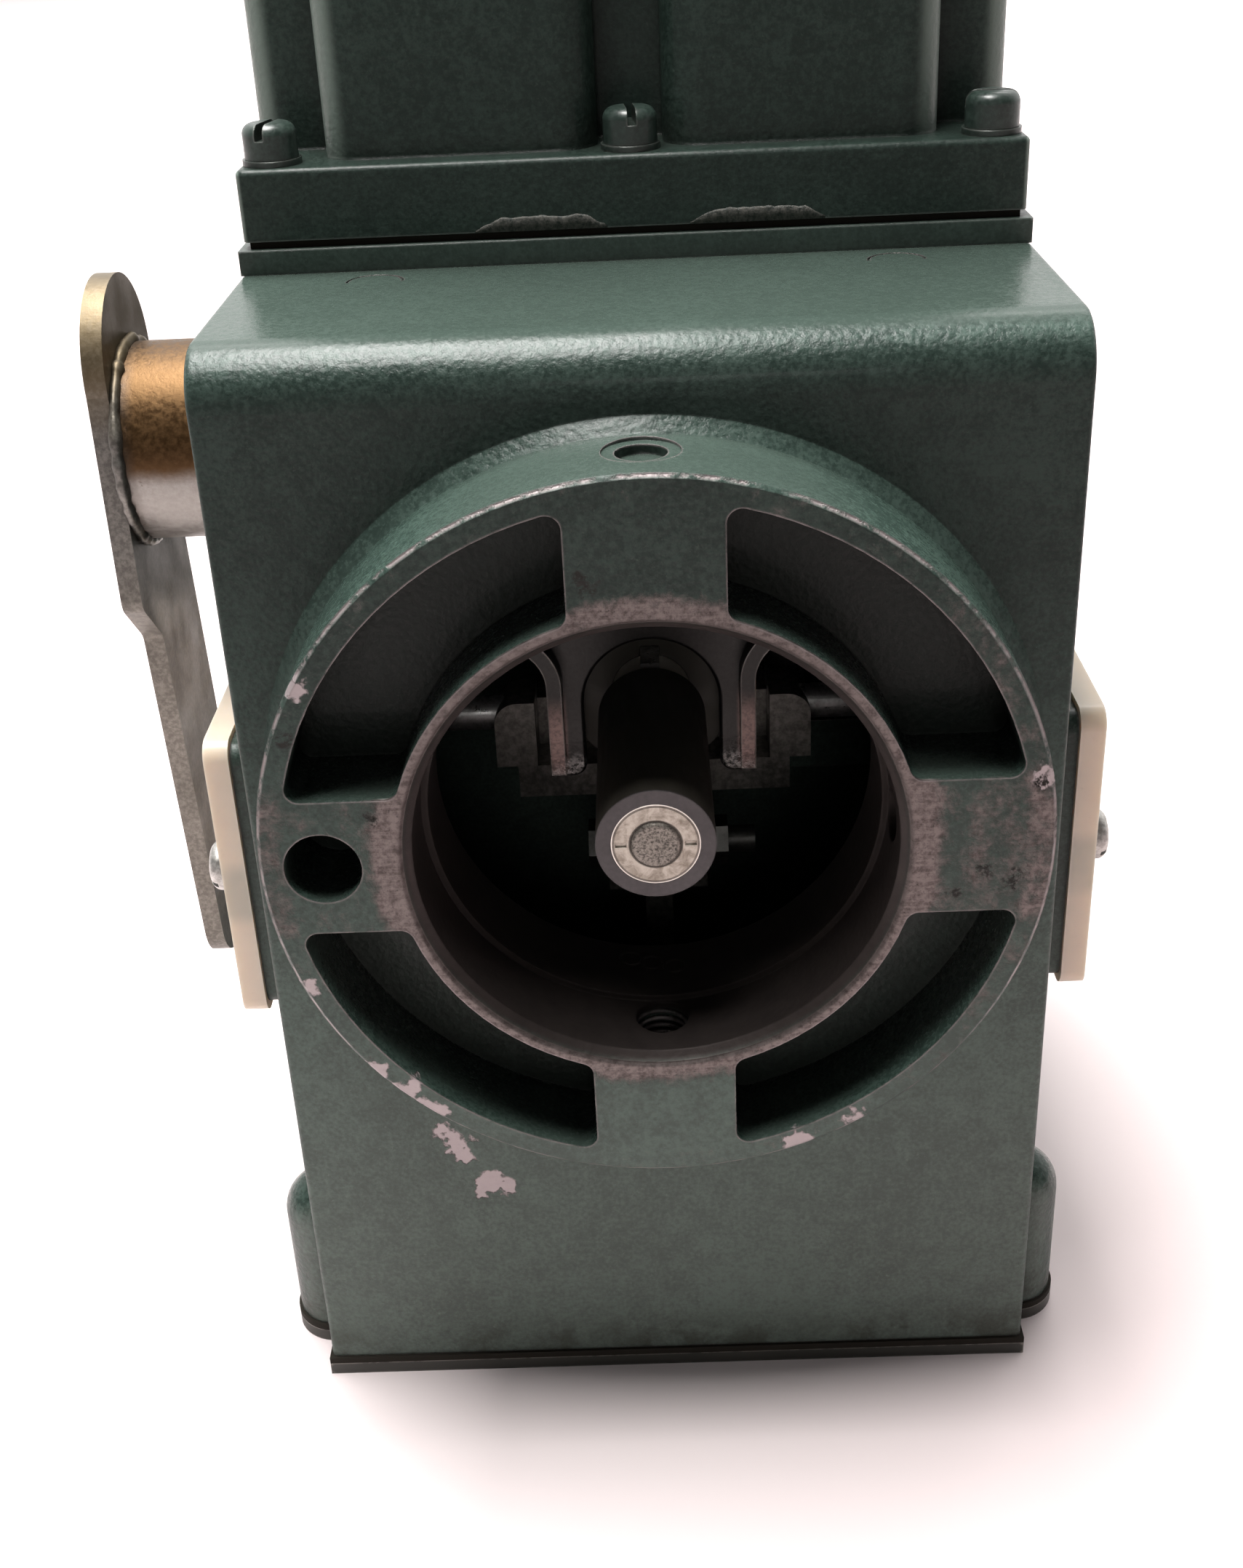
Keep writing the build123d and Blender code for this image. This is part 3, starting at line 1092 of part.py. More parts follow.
def write_motor_group():
    save("motor_stator", make_stator())
    save("motor_coils", make_coils())
    shields = [make_end_shield(z) for z in (lower_shield_z(), upper_shield_z())]
    save("motor_end_shields", solids_of(shields))
    save("motor_studs", make_studs())
    save("capacitor", make_capacitor())
    save("capacitor_clamp", make_capacitor_clamp())
    save("motor_rotor", bush_z(WORM_SHAFT_RADIUS, ROTOR_RADIUS, STATOR_BOTTOM - 1, STATOR_TOP + 1))
    save("motor_fan", make_fan())
    save("worm", make_worm())


def write_output_group():
    save("worm_wheel", make_worm_wheel())
    save("wheel_quill", make_wheel_quill())
    save("output_shaft", make_output_shaft())
    save("output_sleeve", make_output_sleeve())
    save("output_end_pin", make_end_pin())
    save("clutch_key", make_clutch_key())
    save("clutch_collar", make_clutch_collar())
    ring_y = QUILL_REAR_Y + 0.5
    save("snap_ring", bush_y(SHAFT_RADIUS, SNAP_RING_RADIUS, ring_y, ring_y + SNAP_RING_WIDTH))


def write_lever_group():
    save("lever", make_lever())
    save("lever_boss", make_lever_boss())
    save("cross_shaft", make_cross_shaft())
    save("fork", make_fork())
    save("fork_shoes", make_fork_shoes())
    save("fork_roll_pin", make_roll_pin())


os.makedirs("parts", exist_ok=True)
write_housing_group()
write_bearing_group()
write_motor_group()
write_output_group()
write_lever_group()
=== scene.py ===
import json
import math

import bmesh
import bpy
from mathutils import Matrix, Vector, noise


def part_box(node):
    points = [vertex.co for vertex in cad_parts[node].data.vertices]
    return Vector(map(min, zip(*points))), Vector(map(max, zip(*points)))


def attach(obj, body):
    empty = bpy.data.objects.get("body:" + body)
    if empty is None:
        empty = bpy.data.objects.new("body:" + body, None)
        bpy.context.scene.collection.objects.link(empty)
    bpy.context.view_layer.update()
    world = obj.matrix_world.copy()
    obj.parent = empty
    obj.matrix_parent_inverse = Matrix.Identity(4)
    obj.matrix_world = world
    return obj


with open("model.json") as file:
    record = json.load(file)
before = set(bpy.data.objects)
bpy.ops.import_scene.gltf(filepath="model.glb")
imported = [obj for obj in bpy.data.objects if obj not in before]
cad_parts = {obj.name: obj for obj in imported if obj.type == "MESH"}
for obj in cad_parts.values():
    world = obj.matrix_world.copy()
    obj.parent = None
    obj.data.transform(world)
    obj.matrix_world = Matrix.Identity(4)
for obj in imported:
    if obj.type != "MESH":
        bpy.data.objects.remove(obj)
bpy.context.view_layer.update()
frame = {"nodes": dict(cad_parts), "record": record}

NODES = frame["nodes"]

# ---------------------------------------------------------------- places read from the frame (metres)
MM = 0.001
HOUSING_LOW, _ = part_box("housing")
COVER_LOW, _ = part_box("motor_cover")
SLEEVE_LOW, SLEEVE_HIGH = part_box("output_sleeve")
BOSS_LOW, BOSS_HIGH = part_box("lever_boss")
SIDE_LEFT_LOW, SIDE_LEFT_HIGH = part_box("side_plate_left")
MOUNTS = {m["name"]: m for m in frame["record"]["mounts"]}
AXIS_Z = (SLEEVE_LOW.z + SLEEVE_HIGH.z) / 2
COLLAR_Y = HOUSING_LOW.y
FRONT_Y = COLLAR_Y + 18.4 * MM
BORE_R = 34.0 * MM
HUB_R = 36.8 * MM
POCKET_R = 51.9 * MM
RIM_R = 55.35 * MM
THROAT_R = 33.0 * MM
LOCATING_X = -46.4 * MM
LOCATING_R = 5.6 * MM
FACE_SKIN = 0.35 * MM
PIVOT = (Vector(BOSS_LOW) + Vector(BOSS_HIGH)) / 2


# ---------------------------------------------------------------- node graphs
class Graph:
    """A material whose patterns are laid out in the object's own frame, in metres."""

    def __init__(self, name, roughness=0.5, metallic=0.0, coat=0.0, coat_roughness=0.1, specular=0.5,
                 rounding=0.0):
        self.material = bpy.data.materials.new(name)
        self.material.use_nodes = True
        self.tree = self.material.node_tree
        self.tree.nodes.clear()
        self.rounding = rounding
        self.output = self.node("ShaderNodeOutputMaterial")
        self.shader = self.node("ShaderNodeBsdfPrincipled")
        self.link(self.shader.outputs["BSDF"], self.output.inputs["Surface"])
        self.shader.inputs["Roughness"].default_value = roughness
        self.shader.inputs["Metallic"].default_value = metallic
        self.shader.inputs["Coat Weight"].default_value = coat
        self.shader.inputs["Coat Roughness"].default_value = coat_roughness
        self.shader.inputs["Specular IOR Level"].default_value = specular
        self.place = self.node("ShaderNodeTexCoord").outputs["Object"]
        self.xyz = self.node("ShaderNodeSeparateXYZ")
        self.link(self.place, self.xyz.inputs[0])

    def node(self, kind, **values):
        made = self.tree.nodes.new(kind)
        for key, value in values.items():
            setattr(made, key, value)
        return made

    def link(self, a, b):
        self.tree.links.new(a, b)

    def put(self, value, socket):
        if isinstance(value, (int, float, tuple, list)):
            socket.default_value = value
        else:
            self.link(value, socket)

    def x(self):
        return self.xyz.outputs[0]

    def y(self):
        return self.xyz.outputs[1]

    def z(self):
        return self.xyz.outputs[2]

    def math(self, operation, a, b=0.0, c=0.0, clamp=False):
        made = self.node("ShaderNodeMath", operation=operation, use_clamp=clamp)
        self.put(a, made.inputs[0])
        self.put(b, made.inputs[1])
        self.put(c, made.inputs[2])
        return made.outputs[0]

    def add(self, a, b, clamp=False):
        return self.math("ADD", a, b, clamp=clamp)

    def times(self, a, b, clamp=False):
        return self.math("MULTIPLY", a, b, clamp=clamp)

    def most(self, a, b):
        return self.math("MAXIMUM", a, b)

    def apart(self, a, b):
        return self.math("ABSOLUTE", self.math("SUBTRACT", a, b))

    def off_centre(self):
        return self.math("ABSOLUTE", self.x())

    def stretched(self, scale):
        mapping = self.node("ShaderNodeMapping")
        mapping.inputs["Scale"].default_value = scale
        self.link(self.place, mapping.inputs["Vector"])
        return mapping.outputs[0]

    def noise(self, size, detail=4.0, rough=0.55, warp=0.0, vector=None):
        # size is the pattern's feature size in metres.
        made = self.node("ShaderNodeTexNoise")
        self.link(vector or self.place, made.inputs["Vector"])
        made.inputs["Scale"].default_value = 1.0 / size
        made.inputs["Detail"].default_value = detail
        made.inputs["Roughness"].default_value = rough
        made.inputs["Distortion"].default_value = warp
        return made.outputs["Fac"]

    def cells(self, size, smooth):
        made = self.node("ShaderNodeTexVoronoi", feature="SMOOTH_F1")
        self.link(self.place, made.inputs["Vector"])
        made.inputs["Scale"].default_value = 1.0 / size
        made.inputs["Smoothness"].default_value = smooth
        return made.outputs["Distance"]

    def span(self, value, low, high, to_low=0.0, to_high=1.0, smooth=True):
        made = self.node("ShaderNodeMapRange", interpolation_type="SMOOTHSTEP" if smooth else "LINEAR")
        self.put(value, made.inputs["Value"])
        for key, number in (("From Min", low), ("From Max", high), ("To Min", to_low), ("To Max", to_high)):
            made.inputs[key].default_value = number
        return made.outputs[0]

    def mix(self, factor, a, b):
        made = self.node("ShaderNodeMix", data_type="RGBA")
        self.put(factor, made.inputs["Factor"])
        self.put(a, made.inputs[6])
        self.put(b, made.inputs[7])
        return made.outputs[2]

    def scaled(self, color, factor):
        made = self.node("ShaderNodeVectorMath", operation="SCALE")
        self.put(color, made.inputs[0])
        self.put(factor, made.inputs["Scale"])
        return made.outputs[0]

    def blend(self, factor, a, b):
        made = self.node("ShaderNodeMix", data_type="FLOAT")
        self.put(factor, made.inputs["Factor"])
        self.put(a, made.inputs[2])
        self.put(b, made.inputs[3])
        return made.outputs[0]

    def radius(self):
        # Distance from the output axis, in metres.
        up = self.math("SUBTRACT", self.z(), AXIS_Z)
        square = self.add(self.times(self.x(), self.x()), self.times(up, up))
        return self.math("SQRT", square)

    def near(self, point, reach, soft=0.4):
        # 1 at a point, fading to 0 at a distance of reach, with a ragged edge.
        made = self.node("ShaderNodeVectorMath", operation="DISTANCE")
        self.link(self.place, made.inputs[0])
        made.inputs[1].default_value = point
        broad = self.times(self.add(self.noise(2.6 * MM, 2, 0.5), -0.5), 3.4 * reach)
        ragged = self.add(broad, self.times(self.add(self.noise(0.8 * MM, 3, 0.6), -0.5), 1.4 * reach))
        return self.span(self.add(made.outputs["Value"], ragged), reach, reach * (1 - soft))

    def worn_and_highlit_edge(self, size, amount):
        # 1 on convex edges, broken up by noise: worn edges, which also carry a painted highlight.
        made = self.node("ShaderNodeAmbientOcclusion", inside=True, samples=4, only_local=True)
        made.inputs["Distance"].default_value = size
        sharp = self.span(made.outputs["AO"], 0.86, 0.58)
        ragged = self.add(self.noise(4.0 * MM, 6, 0.75), self.times(sharp, amount))
        return self.times(self.span(ragged, 0.74, 0.92), sharp, clamp=True)

    def corner_shade(self, size):
        # 1 deep in corners and hollows, where painted shade goes.
        made = self.node("ShaderNodeAmbientOcclusion", samples=3)
        made.inputs["Distance"].default_value = size
        return self.span(made.outputs["AO"], 0.85, 0.25)

    def bump(self, height, depth, strength=1.0):
        made = self.node("ShaderNodeBump")
        made.inputs["Strength"].default_value = strength
        made.inputs["Distance"].default_value = depth
        self.put(height, made.inputs["Height"])
        if self.rounding > 0:
            bevel = self.node("ShaderNodeBevel", samples=3)
            bevel.inputs["Radius"].default_value = self.rounding
            self.link(bevel.outputs[0], made.inputs["Normal"])
        self.link(made.outputs[0], self.shader.inputs["Normal"])
        return made.outputs[0]

    def finish(self, color, roughness=None, metallic=None):
        self.put(color, self.shader.inputs["Base Color"])
        if roughness is not None:
            self.put(roughness, self.shader.inputs["Roughness"])
        if metallic is not None:
            self.put(metallic, self.shader.inputs["Metallic"])
        return self.material


# ---------------------------------------------------------------- materials
GREEN_DARK = (0.020, 0.034, 0.028, 1)
GREEN_LIGHT = (0.044, 0.070, 0.058, 1)
GREEN_CHALK = (0.095, 0.125, 0.105, 1)
BARE_CAST = (0.185, 0.155, 0.147, 1)
BARE_DARK = (0.070, 0.055, 0.052, 1)
BARE_CHIP = (0.44, 0.385, 0.39, 1)
# Painted light: the lighter green of faces turned up.
LIT_TOP_GREEN = (0.050, 0.071, 0.060, 1)
# The grey mixed into the front towards its foot.
FOOT_GREY = (0.125, 0.118, 0.110, 1)
OILY = (0.008, 0.014, 0.011, 1)
# Dark dirt, and also the colour of painted shade in corners and hollows.
GRIME_AND_SHADE = (0.012, 0.011, 0.009, 1)
FOOT_OIL = (0.030, 0.028, 0.018, 1)
# Painted shade inside the collar's pockets.
POCKET_SHADE = (0.011, 0.013, 0.011, 1)
MACHINED_DARK = (0.022, 0.018, 0.017, 1)
MACHINED_LIGHT = (0.052, 0.042, 0.039, 1)
# Worn paint on edges, lightened as a painted highlight.
CHALK_EDGE_AND_HIGHLIGHT = (0.24, 0.27, 0.25, 1)
# Painted reflection on the cover's outer sides.
SIDE_REFLECTION = (0.15, 0.19, 0.165, 1)
SCREW_EDGE = (0.25, 0.26, 0.24, 1)
PLATE_DARK = (0.020, 0.022, 0.018, 1)
PLATE_LIGHT = (0.060, 0.058, 0.048, 1)
PLATE_EDGE = (0.32, 0.30, 0.27, 1)
FIBRE_DARK = (0.010, 0.009, 0.007, 1)
FIBRE_LIGHT = (0.034, 0.029, 0.022, 1)
IVORY_DARK = (0.56, 0.46, 0.36, 1)
IVORY_LIGHT = (0.70, 0.60, 0.48, 1)
# Painted shade: the darker, greener band on the ivory plate.
IVORY_WALL_SHADE = (0.30, 0.31, 0.26, 1)
IVORY_DUST = (0.36, 0.30, 0.24, 1)
IVORY_EDGE = (0.86, 0.78, 0.66, 1)
INNER_OIL = (0.055, 0.052, 0.048, 1)
ZINC_RUST = (0.16, 0.11, 0.07, 1)
GOLD_DARK = (0.072, 0.038, 0.014, 1)
GOLD_LIGHT = (0.125, 0.070, 0.029, 1)
# Painted reflection: the grey of the lever boss's lower half.
BOSS_REFLECTION_DARK = (0.22, 0.205, 0.19, 1)
BOSS_REFLECTION_LIGHT = (0.36, 0.345, 0.32, 1)
GOLD_BROWN = (0.10, 0.055, 0.025, 1)
JOINT_DIRT = (0.07, 0.055, 0.045, 1)
GOLD_PIT = (0.08, 0.05, 0.03, 1)
OXIDE_DARK = (0.022, 0.020, 0.016, 1)
OXIDE_LIGHT = (0.058, 0.052, 0.042, 1)
OXIDE_END_DARK = (0.045, 0.040, 0.042, 1)
OXIDE_END_LIGHT = (0.085, 0.076, 0.078, 1)
OXIDE_EDGE = (0.20, 0.19, 0.18, 1)
OXIDE_DUST = (0.25, 0.24, 0.22, 1)
CREAM = (0.42, 0.385, 0.335, 1)
CREAM_TARNISH = (0.22, 0.19, 0.155, 1)
RING_LINE = (0.06, 0.05, 0.045, 1)
# Painted highlight on the shaft end's ring edge, and painted shade in the gap round the pin.
RING_HIGHLIGHT = (0.80, 0.76, 0.70, 1)
PIN_GAP_SHADE = (0.035, 0.030, 0.026, 1)
PIN_LIGHT = (0.27, 0.245, 0.215, 1)
PIN_PIT = (0.055, 0.050, 0.045, 1)
PIN_EDGE = (0.80, 0.77, 0.70, 1)
FORK_DARK = (0.026, 0.025, 0.024, 1)
FORK_LIGHT = (0.055, 0.053, 0.051, 1)
FORK_PINK = (0.24, 0.165, 0.150, 1)
FORK_TIP = (0.50, 0.48, 0.46, 1)
FORK_EDGE = (0.42, 0.39, 0.37, 1)
SHEET_DARK = (0.10, 0.10, 0.10, 1)
SHEET_LIGHT = (0.34, 0.34, 0.35, 1)
SHEET_RUST = (0.20, 0.10, 0.05, 1)
COPPER_DARK = (0.16, 0.045, 0.015, 1)
COPPER_LIGHT = (0.60, 0.24, 0.09, 1)
SCAR_DARK = (0.020, 0.026, 0.022, 1)
SCAR_LIGHT = (0.115, 0.110, 0.098, 1)

# Painted light and shade: the front's paint is this many times lighter or darker at its foot and at its top.
TONE_LOW = 2.55
TONE_HIGH = 0.69

# Damage on the paint: x, z and reach of each place, in millimetres.
FRONT_CHIPS = [(-34.8, 50.5, 2.6), (-33.4, 47.6, 1.7), (-36.6, 53.6, 1.5), (-29.4, 41.3, 2.7),
               (-26.9, 40.9, 1.6)]
RIM_CHIPS = [(-38.6, 74.2, 2.5), (-34.2, 71.0, 2.1), (-42.5, 78.0, 2.0), (19.0, 62.2, 2.6), (28.0, 66.8, 2.2),
             (53.6, 123.5, 2.0), (-50.6, 94.5, 1.6), (-47.0, 141.5, 1.6)]
GREASE_SPOTS = [(-8.0, 154.5, 2.0), (-39.0, 120.5, 1.5), (45.5, 110.2, 1.9), (49.5, 107.8, 2.2),
                (41.5, 106.0, 1.4), (53.2, 122.8, 1.8), (-49.5, 133.5, 1.6), (22.5, 147.0, 1.3)]


def enamel_base(g):
    # Hammer enamel: fine leathery cells with a darker tone between them, clouded over larger areas.
    cloud = g.noise(24 * MM, 3, 0.5)
    patch = g.noise(3.2 * MM, 4, 0.6, 0.5)
    grain = g.noise(0.75 * MM, 5, 0.65)
    fine = g.noise(0.3 * MM, 2, 0.5)
    tone = g.add(g.times(grain, 0.60), g.add(g.times(patch, 0.30), g.times(cloud, 0.20)))
    color = g.mix(g.span(tone, 0.44, 0.68), GREEN_DARK, GREEN_LIGHT)
    specks = g.span(g.noise(0.5 * MM, 3, 0.6, 1.0), 0.62, 0.72)
    color = g.mix(g.times(specks, 0.35), color, GREEN_CHALK)
    dirt = g.span(g.noise(0.8 * MM, 4, 0.7, 0.6), 0.68, 0.76)
    color = g.mix(g.times(dirt, 0.30), color, GRIME_AND_SHADE)
    leather = g.cells(1.0 * MM, 0.5)
    height = g.add(g.times(leather, 0.8), g.add(g.times(grain, 0.9), g.times(fine, 0.35)))
    rough = g.add(g.span(grain, 0.3, 0.7, 0.28, 0.46), g.span(cloud, 0.4, 0.7, 0.0, 0.06))
    return color, rough, height


def facing(g):
    # The way the surface looks, split into x, y and z.
    normal = g.node("ShaderNodeSeparateXYZ")
    g.link(g.node("ShaderNodeNewGeometry").outputs["Normal"], normal.inputs[0])
    return normal.outputs


def front_light_and_shade(g, color):
    # Painted light and shade: the upright front is darker towards the top and lighter towards the foot, and
    # is mixed greyer towards the foot; faces turned up are painted lighter.
    upright = g.span(g.times(facing(g)[1], -1.0), 0.6, 0.95)
    level = g.span(g.z(), 20 * MM, 150 * MM, TONE_LOW, TONE_HIGH, smooth=False)
    color = g.scaled(color, g.blend(upright, g.span(facing(g)[2], 0.2, 0.8, 1.0, 1.35), level))
    greyer_foot = g.times(upright, g.span(g.z(), 130 * MM, 20 * MM, 0.0, 0.40, smooth=False))
    return g.mix(greyer_foot, color, FOOT_GREY)


def bare_metal(g):
    # Scuffed die-cast metal: pinkish grey with dark stains and fine scratches.
    stain = g.noise(1.3 * MM, 6, 0.75)
    scratch = g.noise(1.2 * MM, 4, 0.6, vector=g.stretched((0.15, 1, 2.5)))
    stain = g.add(g.times(stain, 0.75), g.times(scratch, 0.25))
    color = g.mix(g.span(stain, 0.40, 0.64), BARE_CAST, BARE_DARK)
    pit = g.span(g.noise(0.5 * MM, 3, 0.6), 0.62, 0.74)
    return g.mix(g.times(pit, 0.6), color, GRIME_AND_SHADE)


def collar_wear(g):
    # Where the paint is gone: the hub ring, the two level spokes, the rim's edges and the bore.
    radius = g.radius()
    on_face = g.span(g.y(), COLLAR_Y + 2 * FACE_SKIN, COLLAR_Y + FACE_SKIN)
    scuff = g.noise(3.2 * MM, 7, 0.72, 0.3)
    hub = g.span(radius, HUB_R + 4.5 * MM, HUB_R - 0.4 * MM)
    level = g.span(g.apart(g.z(), AXIS_Z), 14 * MM, 9 * MM)
    rim = g.span(radius, POCKET_R - 1.0 * MM, POCKET_R + 0.6 * MM)
    right = g.span(g.x(), 28 * MM, 52 * MM, 0.0, 0.10)
    bias = g.add(g.times(hub, 0.55), g.add(g.times(level, 0.19), g.add(g.times(rim, 0.13), right)))
    face = g.times(g.span(g.add(scuff, bias), 0.66, 0.98), on_face, clamp=True)
    # Thin lines along the bore's and the rim's edges: bare metal, with a painted highlight.
    line = g.most(g.span(radius, BORE_R + 0.9 * MM, BORE_R + 0.5 * MM),
                  g.span(radius, RIM_R - 0.7 * MM, RIM_R - 0.2 * MM))
    line = g.times(line, g.times(g.span(g.noise(5 * MM, 6, 0.7), 0.42, 0.56), on_face))
    bore = g.span(radius, BORE_R + 2.2 * MM, BORE_R + 0.6 * MM)
    bore = g.times(bore, g.span(g.y(), FRONT_Y + 20 * MM, FRONT_Y + 12 * MM), clamp=True)
    return face, bore, line, on_face


def chips(g):
    # Paint knocked off the front below the collar and along the collar's lower edge.
    mask = 0.0
    for level, places in ((FRONT_Y, FRONT_CHIPS), (COLLAR_Y, RIM_CHIPS)):
        for x, z, reach in places:
            mask = g.most(mask, g.near((x * MM, level, z * MM), reach * MM))
    return mask


def dark_spots(g):
    # Old grease spots and a scratched patch on the collar's face.
    mask = 0.0
    for x, z, reach in GREASE_SPOTS:
        mask = g.most(mask, g.near((x * MM, COLLAR_Y, z * MM), reach * MM, 0.7))
    broken = g.span(g.noise(1.0 * MM, 4, 0.7), 0.42, 0.56)
    return g.times(mask, broken)


def pockets(g):
    # 1 inside the four pockets of the collar and its locating hole, which are painted dark as painted shade.
    radius = g.radius()
    ring = g.times(g.span(radius, HUB_R - 0.6 * MM, HUB_R - 0.2 * MM),
                   g.span(radius, RIM_R - 1.6 * MM, RIM_R - 2.4 * MM))
    sunk = g.times(g.span(g.y(), COLLAR_Y + 0.5 * MM, COLLAR_Y + 5 * MM),
                   g.span(g.y(), FRONT_Y - 0.5 * MM, FRONT_Y - 1.5 * MM))
    across = g.node("ShaderNodeVectorMath", operation="DISTANCE")
    flat = g.node("ShaderNodeCombineXYZ")
    g.link(g.x(), flat.inputs[0])
    g.link(g.z(), flat.inputs[2])
    g.link(flat.outputs[0], across.inputs[0])
    across.inputs[1].default_value = (LOCATING_X, 0.0, AXIS_Z)
    hole = g.times(g.span(across.outputs["Value"], LOCATING_R + 0.3 * MM, LOCATING_R),
                   g.span(g.y(), COLLAR_Y + 0.8 * MM, COLLAR_Y + 2.5 * MM))
    return g.most(g.times(ring, sunk), hole)


def housing_paint():
    g = Graph("housing_hammer_enamel", coat=0.06, coat_roughness=0.12, specular=0.20, rounding=0.5 * MM)
    color, rough, height = enamel_base(g)
    metal = bare_metal(g)
    face, bore, line, on_face = collar_wear(g)
    # Worn convex edges; the same mask also lightens them as a painted highlight.
    edge = g.worn_and_highlit_edge(0.6 * MM, 0.42)
    chip = chips(g)
    mask = g.most(g.most(face, g.most(edge, line)), chip)
    # Painted light and shade on the front, and a lighter colour on faces turned up.
    color = front_light_and_shade(g, color)
    # Faces turned up are painted a lighter, plainer green: painted light from above.
    lit_flat_top = g.span(facing(g)[2], 0.80, 0.97)
    color = g.mix(g.times(lit_flat_top, 0.80), color, LIT_TOP_GREEN)
    # Painted shade inside the pockets and the locating hole.
    color = g.mix(g.times(pockets(g), 0.72), color, POCKET_SHADE)
    color = g.mix(mask, color, metal)
    color = g.mix(g.times(chip, 0.8), color, BARE_CHIP)
    # Edges and rim lines lightened further: wear, with a painted highlight.
    color = g.mix(g.times(g.most(edge, line), 0.45), color, BARE_CHIP)
    foot = g.times(g.span(g.z(), 13 * MM, 5 * MM), g.span(g.noise(7 * MM, 5, 0.65), 0.40, 0.60))
    color = g.mix(g.times(foot, 0.55), color, FOOT_OIL)
    color = g.mix(g.times(dark_spots(g), on_face), color, GRIME_AND_SHADE)
    machined = g.mix(g.noise(3 * MM, 5, 0.7), MACHINED_DARK, MACHINED_LIGHT)
    color = g.mix(bore, color, machined)
    low_dust = g.times(g.span(g.z(), 40 * MM, 6 * MM), g.span(g.noise(12 * MM, 4, 0.6), 0.45, 0.7))
    color = g.mix(g.times(low_dust, 0.30), color, GREEN_CHALK)
    # Painted shade in corners and hollows.
    color = g.mix(g.times(g.corner_shade(5 * MM), 0.55), color, GRIME_AND_SHADE)
    gone = g.most(mask, bore)
    height = g.times(height, g.times(g.blend(gone, 1.0, 0.35), g.blend(lit_flat_top, 1.0, 0.35)))
    height = g.add(height, g.times(gone, -1.6))
    g.bump(height, 0.12 * MM, 0.8)
    rough = g.add(rough, g.span(facing(g)[2], 0.1, 0.5, 0.04, -0.13))
    return g.finish(color, g.blend(gone, rough, 0.50), g.times(gone, 0.55))


def cover_paint():
    g = Graph("cover_hammer_enamel", coat=0.10, coat_roughness=0.14, specular=0.20, rounding=0.7 * MM)
    color, rough, height = enamel_base(g)
    color = g.mix(0.40, color, OILY)
    # Painted reflection: the cover's outer sides are painted lighter, as the pale room is seen in them.
    turned = g.math("ABSOLUTE", facing(g)[0])
    side = g.times(g.span(turned, 0.25, 0.65), g.span(turned, 0.998, 0.975))
    outer = g.span(g.off_centre(), 38 * MM, 46 * MM)
    color = g.mix(g.times(side, g.times(outer, 0.9)), color, SIDE_REFLECTION)
    # Edges lightened: wear, with a painted highlight.
    edge = g.worn_and_highlit_edge(0.7 * MM, 0.56)
    color = g.mix(g.times(edge, 0.8), color, CHALK_EDGE_AND_HIGHLIGHT)
    # Painted shade in corners and hollows.
    color = g.mix(g.times(g.corner_shade(5 * MM), 0.6), color, GRIME_AND_SHADE)
    g.bump(height, 0.10 * MM, 0.6)
    return g.finish(color, rough, 0.0)


def adapter_paint():
    g = Graph("adapter_enamel", coat=0.15, coat_roughness=0.25, specular=0.30, rounding=0.5 * MM)
    color, rough, height = enamel_base(g)
    color = g.mix(0.15, color, GREEN_CHALK)
    # Edges lightened: wear, with a painted highlight.
    edge = g.worn_and_highlit_edge(0.5 * MM, 0.55)
    color = g.mix(g.times(edge, 0.8), color, CHALK_EDGE_AND_HIGHLIGHT)
    # Painted shade in corners and hollows.
    color = g.mix(g.times(g.corner_shade(4 * MM), 0.7), color, GRIME_AND_SHADE)
    g.bump(height, 0.05 * MM, 0.5)
    return g.finish(color, rough, 0.0)


def screw_paint():
    g = Graph("painted_screw", coat=0.25, coat_roughness=0.2, rounding=0.3 * MM)
    color, rough, height = enamel_base(g)
    color = g.mix(0.30, color, OILY)
    # Edges lightened: wear, with a painted highlight.
    edge = g.worn_and_highlit_edge(0.5 * MM, 0.40)
    color = g.mix(g.times(edge, 0.6), color, SCREW_EDGE)
    # Painted shade in corners and hollows.
    color = g.mix(g.times(g.corner_shade(2 * MM), 0.8), color, GRIME_AND_SHADE)
    g.bump(height, 0.05 * MM, 0.5)
    return g.finish(color, rough, g.times(edge, 0.4))


def base_steel():
    g = Graph("base_plate_steel", roughness=0.5)
    stain = g.noise(9 * MM, 5, 0.65)
    color = g.mix(stain, PLATE_DARK, PLATE_LIGHT)
    # Edges lightened: wear, with a painted highlight.
    edge = g.worn_and_highlit_edge(0.7 * MM, 0.36)
    color = g.mix(edge, color, PLATE_EDGE)
    g.bump(g.noise(0.8 * MM, 4, 0.6), 0.04 * MM, 0.5)
    return g.finish(color, g.span(stain, 0.3, 0.7, 0.38, 0.62), g.times(edge, 0.7))


def gasket_fibre():
    g = Graph("gasket_fibre", roughness=0.85, specular=0.2)
    fibre = g.noise(0.7 * MM, 5, 0.7, vector=g.stretched((1, 1, 3)))
    color = g.mix(fibre, FIBRE_DARK, FIBRE_LIGHT)
    g.bump(fibre, 0.06 * MM, 0.7)
    return g.finish(color, g.span(fibre, 0.3, 0.7, 0.75, 0.95))


